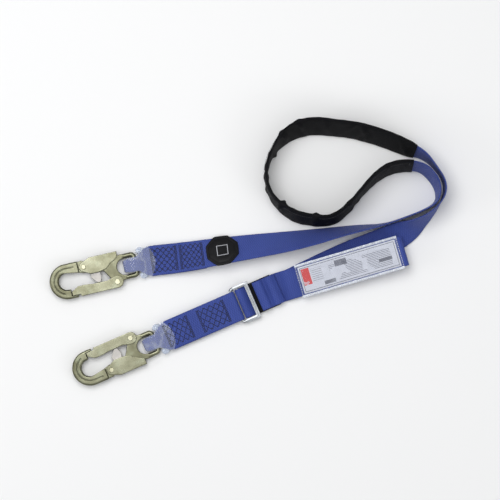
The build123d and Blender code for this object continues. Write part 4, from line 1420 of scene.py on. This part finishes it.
@dataclass
class EnergyAbsorber:
    """Folded tear webbing under a clear stitched cover with a plain card."""

    palette: Palette
    stitches: StitchTree
    left: tuple = (100.8 * MM, 42.7 * MM, 3.6 * MM)
    heading: float = 16.4
    pitch: float = 4.2
    length: float = 156 * MM
    cover_w: float = 48.5 * MM
    levels: tuple = (1.75, 6.15, 8.35, 10.55)
    top: float = 12.4 * MM

    def frame_vectors(self) -> tuple[Array, Array, Array]:
        """Directions along, across and out of the pack."""
        a, b = unit(self.heading), math.radians(self.pitch)
        along = a * math.cos(b) + UP * math.sin(b)
        across = unit(self.heading + 90)
        return along, across, np.cross(along, across)

    def point(self, u: float, z: float, a: float = 0.0) -> Array:
        """Place of a point given along, out of and across the pack, in metres."""
        along, across, out = self.frame_vectors()
        return np.array(self.left) + along * u + out * z + across * a

    def tear_webbing(self) -> bpy.types.Object:
        """One strap folded to and fro."""
        head, tail = self.length / MM + 8 - 4.4, 3.0
        path: list = [(-14, self.levels[0]), (-6, self.levels[0])]
        path += [(u, self.levels[0]) for u in np.linspace(6, head - 6, 12)]

        def fold(u: float, low: float, high: float, way: int) -> list:
            """Points round one fold."""
            r, mid = (high - low) / 2, (high + low) / 2
            return [(u + way * r * math.cos(a), mid + r * math.sin(a))
                    for a in np.linspace(-math.pi / 2, math.pi / 2, 7)]

        path += fold(head, self.levels[0], self.levels[1], 1)
        path += [(u, self.levels[1]) for u in np.linspace(head - 6, tail + 6, 10)]
        path += fold(tail, self.levels[1], self.levels[2], -1)
        path += [(u, self.levels[2]) for u in np.linspace(tail + 6, head - 6, 10)]
        path += fold(head, self.levels[2], self.levels[3], 1)
        path += [(u, self.levels[3]) for u in np.linspace(head - 6, 6, 10)]
        across = self.frame_vectors()[1]
        band = Ribbon([(self.point(u * MM, z * MM), across, WEB_W) for u, z in path], 1.6 * MM)
        obj = sweep("tear_strap", band, lambda s, w: strap_profile(w, WEB_T, 8), spacing=1.6 * MM)
        return finish_piece(obj, self.palette.webbing, Body.ROOT, ["tear_webbing"])

    def sheet_ribbon(self, z: float, start: float, end: float, width: float, seed: int,
                     depth: float) -> tuple[Ribbon, Undulation]:
        """Band along the pack at a height.

        Args:
            z: height off the pack's base.
            start: first distance along the pack.
            end: last distance.
            width: band width.
            seed: seed of its unevenness.
            depth: depth of its unevenness.

        Returns:
            The band and its unevenness.
        """
        across = self.frame_vectors()[1]
        rows = [(self.point(u, z), across, width) for u in np.linspace(start, end, 12)]
        return Ribbon(rows, 2 * MM), Undulation(seed, depth, 90)

    def card(self) -> bpy.types.Object:
        """Plain card with a gentle bow."""
        height = self.top - 0.2 * MM
        band, sway = self.sheet_ribbon(height, 4 * MM, 152 * MM, 40 * MM, 21, 0.09 * MM)
        obj = sweep("ruled_card", band, lambda s, w: strap_profile(w, 0.35 * MM, 8), ripple=sway)
        return finish_piece(obj, self.palette.card, Body.ROOT, ["label_card"])

    def cover(self) -> None:
        """Clear sleeve with folded hems along both sides and white stitches."""
        height = self.top / 2 + 0.2 * MM
        band, sway = self.sheet_ribbon(height, 0.0, self.length, self.cover_w, 33, 0.10 * MM)
        tube = sweep("clear_cover", band,
                     lambda s, w: pillow_profile(w, self.top + 1.5 * MM, 48, 9.0), ripple=sway,
                     wall=0.4 * MM)
        finish_piece(tube, self.palette.cover, Body.ROOT, ["pack_cover"])
        sewing = Sewing("cover_stitches", self.palette.white_thread, radius=0.3 * MM)
        for way in (1, -1):
            across = self.frame_vectors()[1]
            rows = [(self.point(u, self.top + 1.15 * MM, way * 22.9 * MM), across, 3.6 * MM)
                    for u in np.linspace(0.3 * MM, self.length - 0.3 * MM, 12)]
            hem = Ribbon(rows, 2 * MM)
            piece = sweep(f"cover_hem_{'left' if way > 0 else 'right'}", hem,
                          lambda s, w: pillow_profile(w, 0.9 * MM, 16, 4.0),
                          ripple=Undulation(40 + way, 0.08 * MM, 120))
            finish_piece(piece, self.palette.hem, Body.ROOT)
            a = 0.3 * MM * way
            sewing.run(hem, [(2 * MM, a), (hem.length - 2 * MM, a)], 0.42 * MM, 3.4 * MM, 0.66)
        for u in (1.2 * MM, self.length - 1.2 * MM):
            rows = [(self.point(u, self.top + 1.05 * MM, a), -self.frame_vectors()[0], 2.0 * MM)
                    for a in np.linspace(-21 * MM, 21 * MM, 8)]
            end = Ribbon(rows, 2 * MM)
            sewing.run(end, [(0, 0), (end.length, 0)], 0.2 * MM, 3.4 * MM, 0.66)
        sewing.make(self.stitches, Body.ROOT)

    def build(self) -> None:
        """Make the pack's pieces."""
        self.tear_webbing()
        self.card()
        self.cover()


@dataclass
class Studio:
    """Pale floor, soft lights and the camera straight above."""

    look_at: tuple = (29.0 * MM, 89.0 * MM)
    height: float = 5.0
    view_w: float = 735 * MM

    def floor(self) -> None:
        """Wide pale floor."""
        corners = np.array([(-6, -6, 0), (6, -6, 0), (6, 6, 0), (-6, 6, 0)], float)
        mesh = make_mesh("studio_floor", corners, [(0, 1, 2, 3)])
        s = Shader("studio_paper")
        s.set(Base_Color=(0.88, 0.88, 0.88), Roughness=0.9, Specular_IOR_Level=0.1)
        mesh.data.materials.append(s.material)

    def lamp(self, name: str, place: tuple, size: float, power: float) -> None:
        """Square soft light aimed at the lanyard.

        Args:
            name: light name.
            place: its position.
            size: its side.
            power: its power in watts.
        """
        data = bpy.data.lights.new(name, "AREA")
        data.size, data.energy = size, power
        obj = show(bpy.data.objects.new(name, data))
        obj.location = place
        aim = Vector((*self.look_at, 0)) - Vector(place)
        obj.rotation_euler = aim.to_track_quat("-Z", "Y").to_euler()

    def build(self) -> None:
        """Set up floor, lights, world and camera."""
        self.floor()
        for row in (("soft_top", (-0.45, 0.75, 2.2), 1.5, 28),
                    ("soft_left", (-1.9, -0.3, 0.9), 0.7, 7),
                    ("soft_right", (1.6, -0.9, 1.2), 0.8, 5)):
            self.lamp(*row)
        world = bpy.data.worlds.new("studio_air")
        world.use_nodes = True
        nodes, links = world.node_tree.nodes, world.node_tree.links
        sky = nodes.new("ShaderNodeTexCoord")
        height = nodes.new("ShaderNodeSeparateXYZ")
        ramp = nodes.new("ShaderNodeValToRGB")
        stops = ((0.0, 0.12), (0.45, 0.27), (0.80, 0.66), (1.0, 0.90))
        while len(ramp.color_ramp.elements) < len(stops):
            ramp.color_ramp.elements.new(0.5)
        for element, (at, level) in zip(ramp.color_ramp.elements, stops):
            element.position, element.color = at, (level * 0.98, level * 0.99, level, 1)
        links.new(sky.outputs["Generated"], height.inputs[0])
        links.new(height.outputs[2], ramp.inputs[0])
        links.new(ramp.outputs[0], nodes["Background"].inputs[0])
        nodes["Background"].inputs[1].default_value = 1.0
        bpy.context.scene.world = world
        bpy.context.scene.view_settings.view_transform = "Standard"
        data = bpy.data.cameras.new("overhead")
        data.sensor_width = 36.0
        data.lens = 36.0 * self.height / self.view_w
        data.clip_end = 20
        camera = show(bpy.data.objects.new("overhead", data))
        camera.location = (*self.look_at, self.height)
        bpy.context.scene.camera = camera


def main() -> None:
    """Build the lanyard piece by piece, then the studio, and note both boxes."""
    logging.basicConfig(level=logging.INFO, format="%(message)s")
    palette = Palette()
    tree = StitchTree()
    leg = LongLeg(palette, tree)
    leg.build()
    strap = HookStrap(palette, tree)
    strap.build()
    LoopFilm(palette, Side.A, Body.ROOT, leg.strap, leg.upper_end, leg.lower_start).build()
    LoopFilm(palette, Side.B, Body.HOOK_LEG, strap.strap, strap.upper_end,
             strap.lower_start).build()
    SnapHook(palette, Side.A, Body.HOOK_A, Body.GATE_A, Body.LEVER_A).build()
    SnapHook(palette, Side.B, Body.HOOK_B, Body.GATE_B, Body.LEVER_B).build()
    Adjuster(palette, tree).build()
    EnergyAbsorber(palette, tree).build()
    Studio().build()


if __name__ == "__main__":
    main()
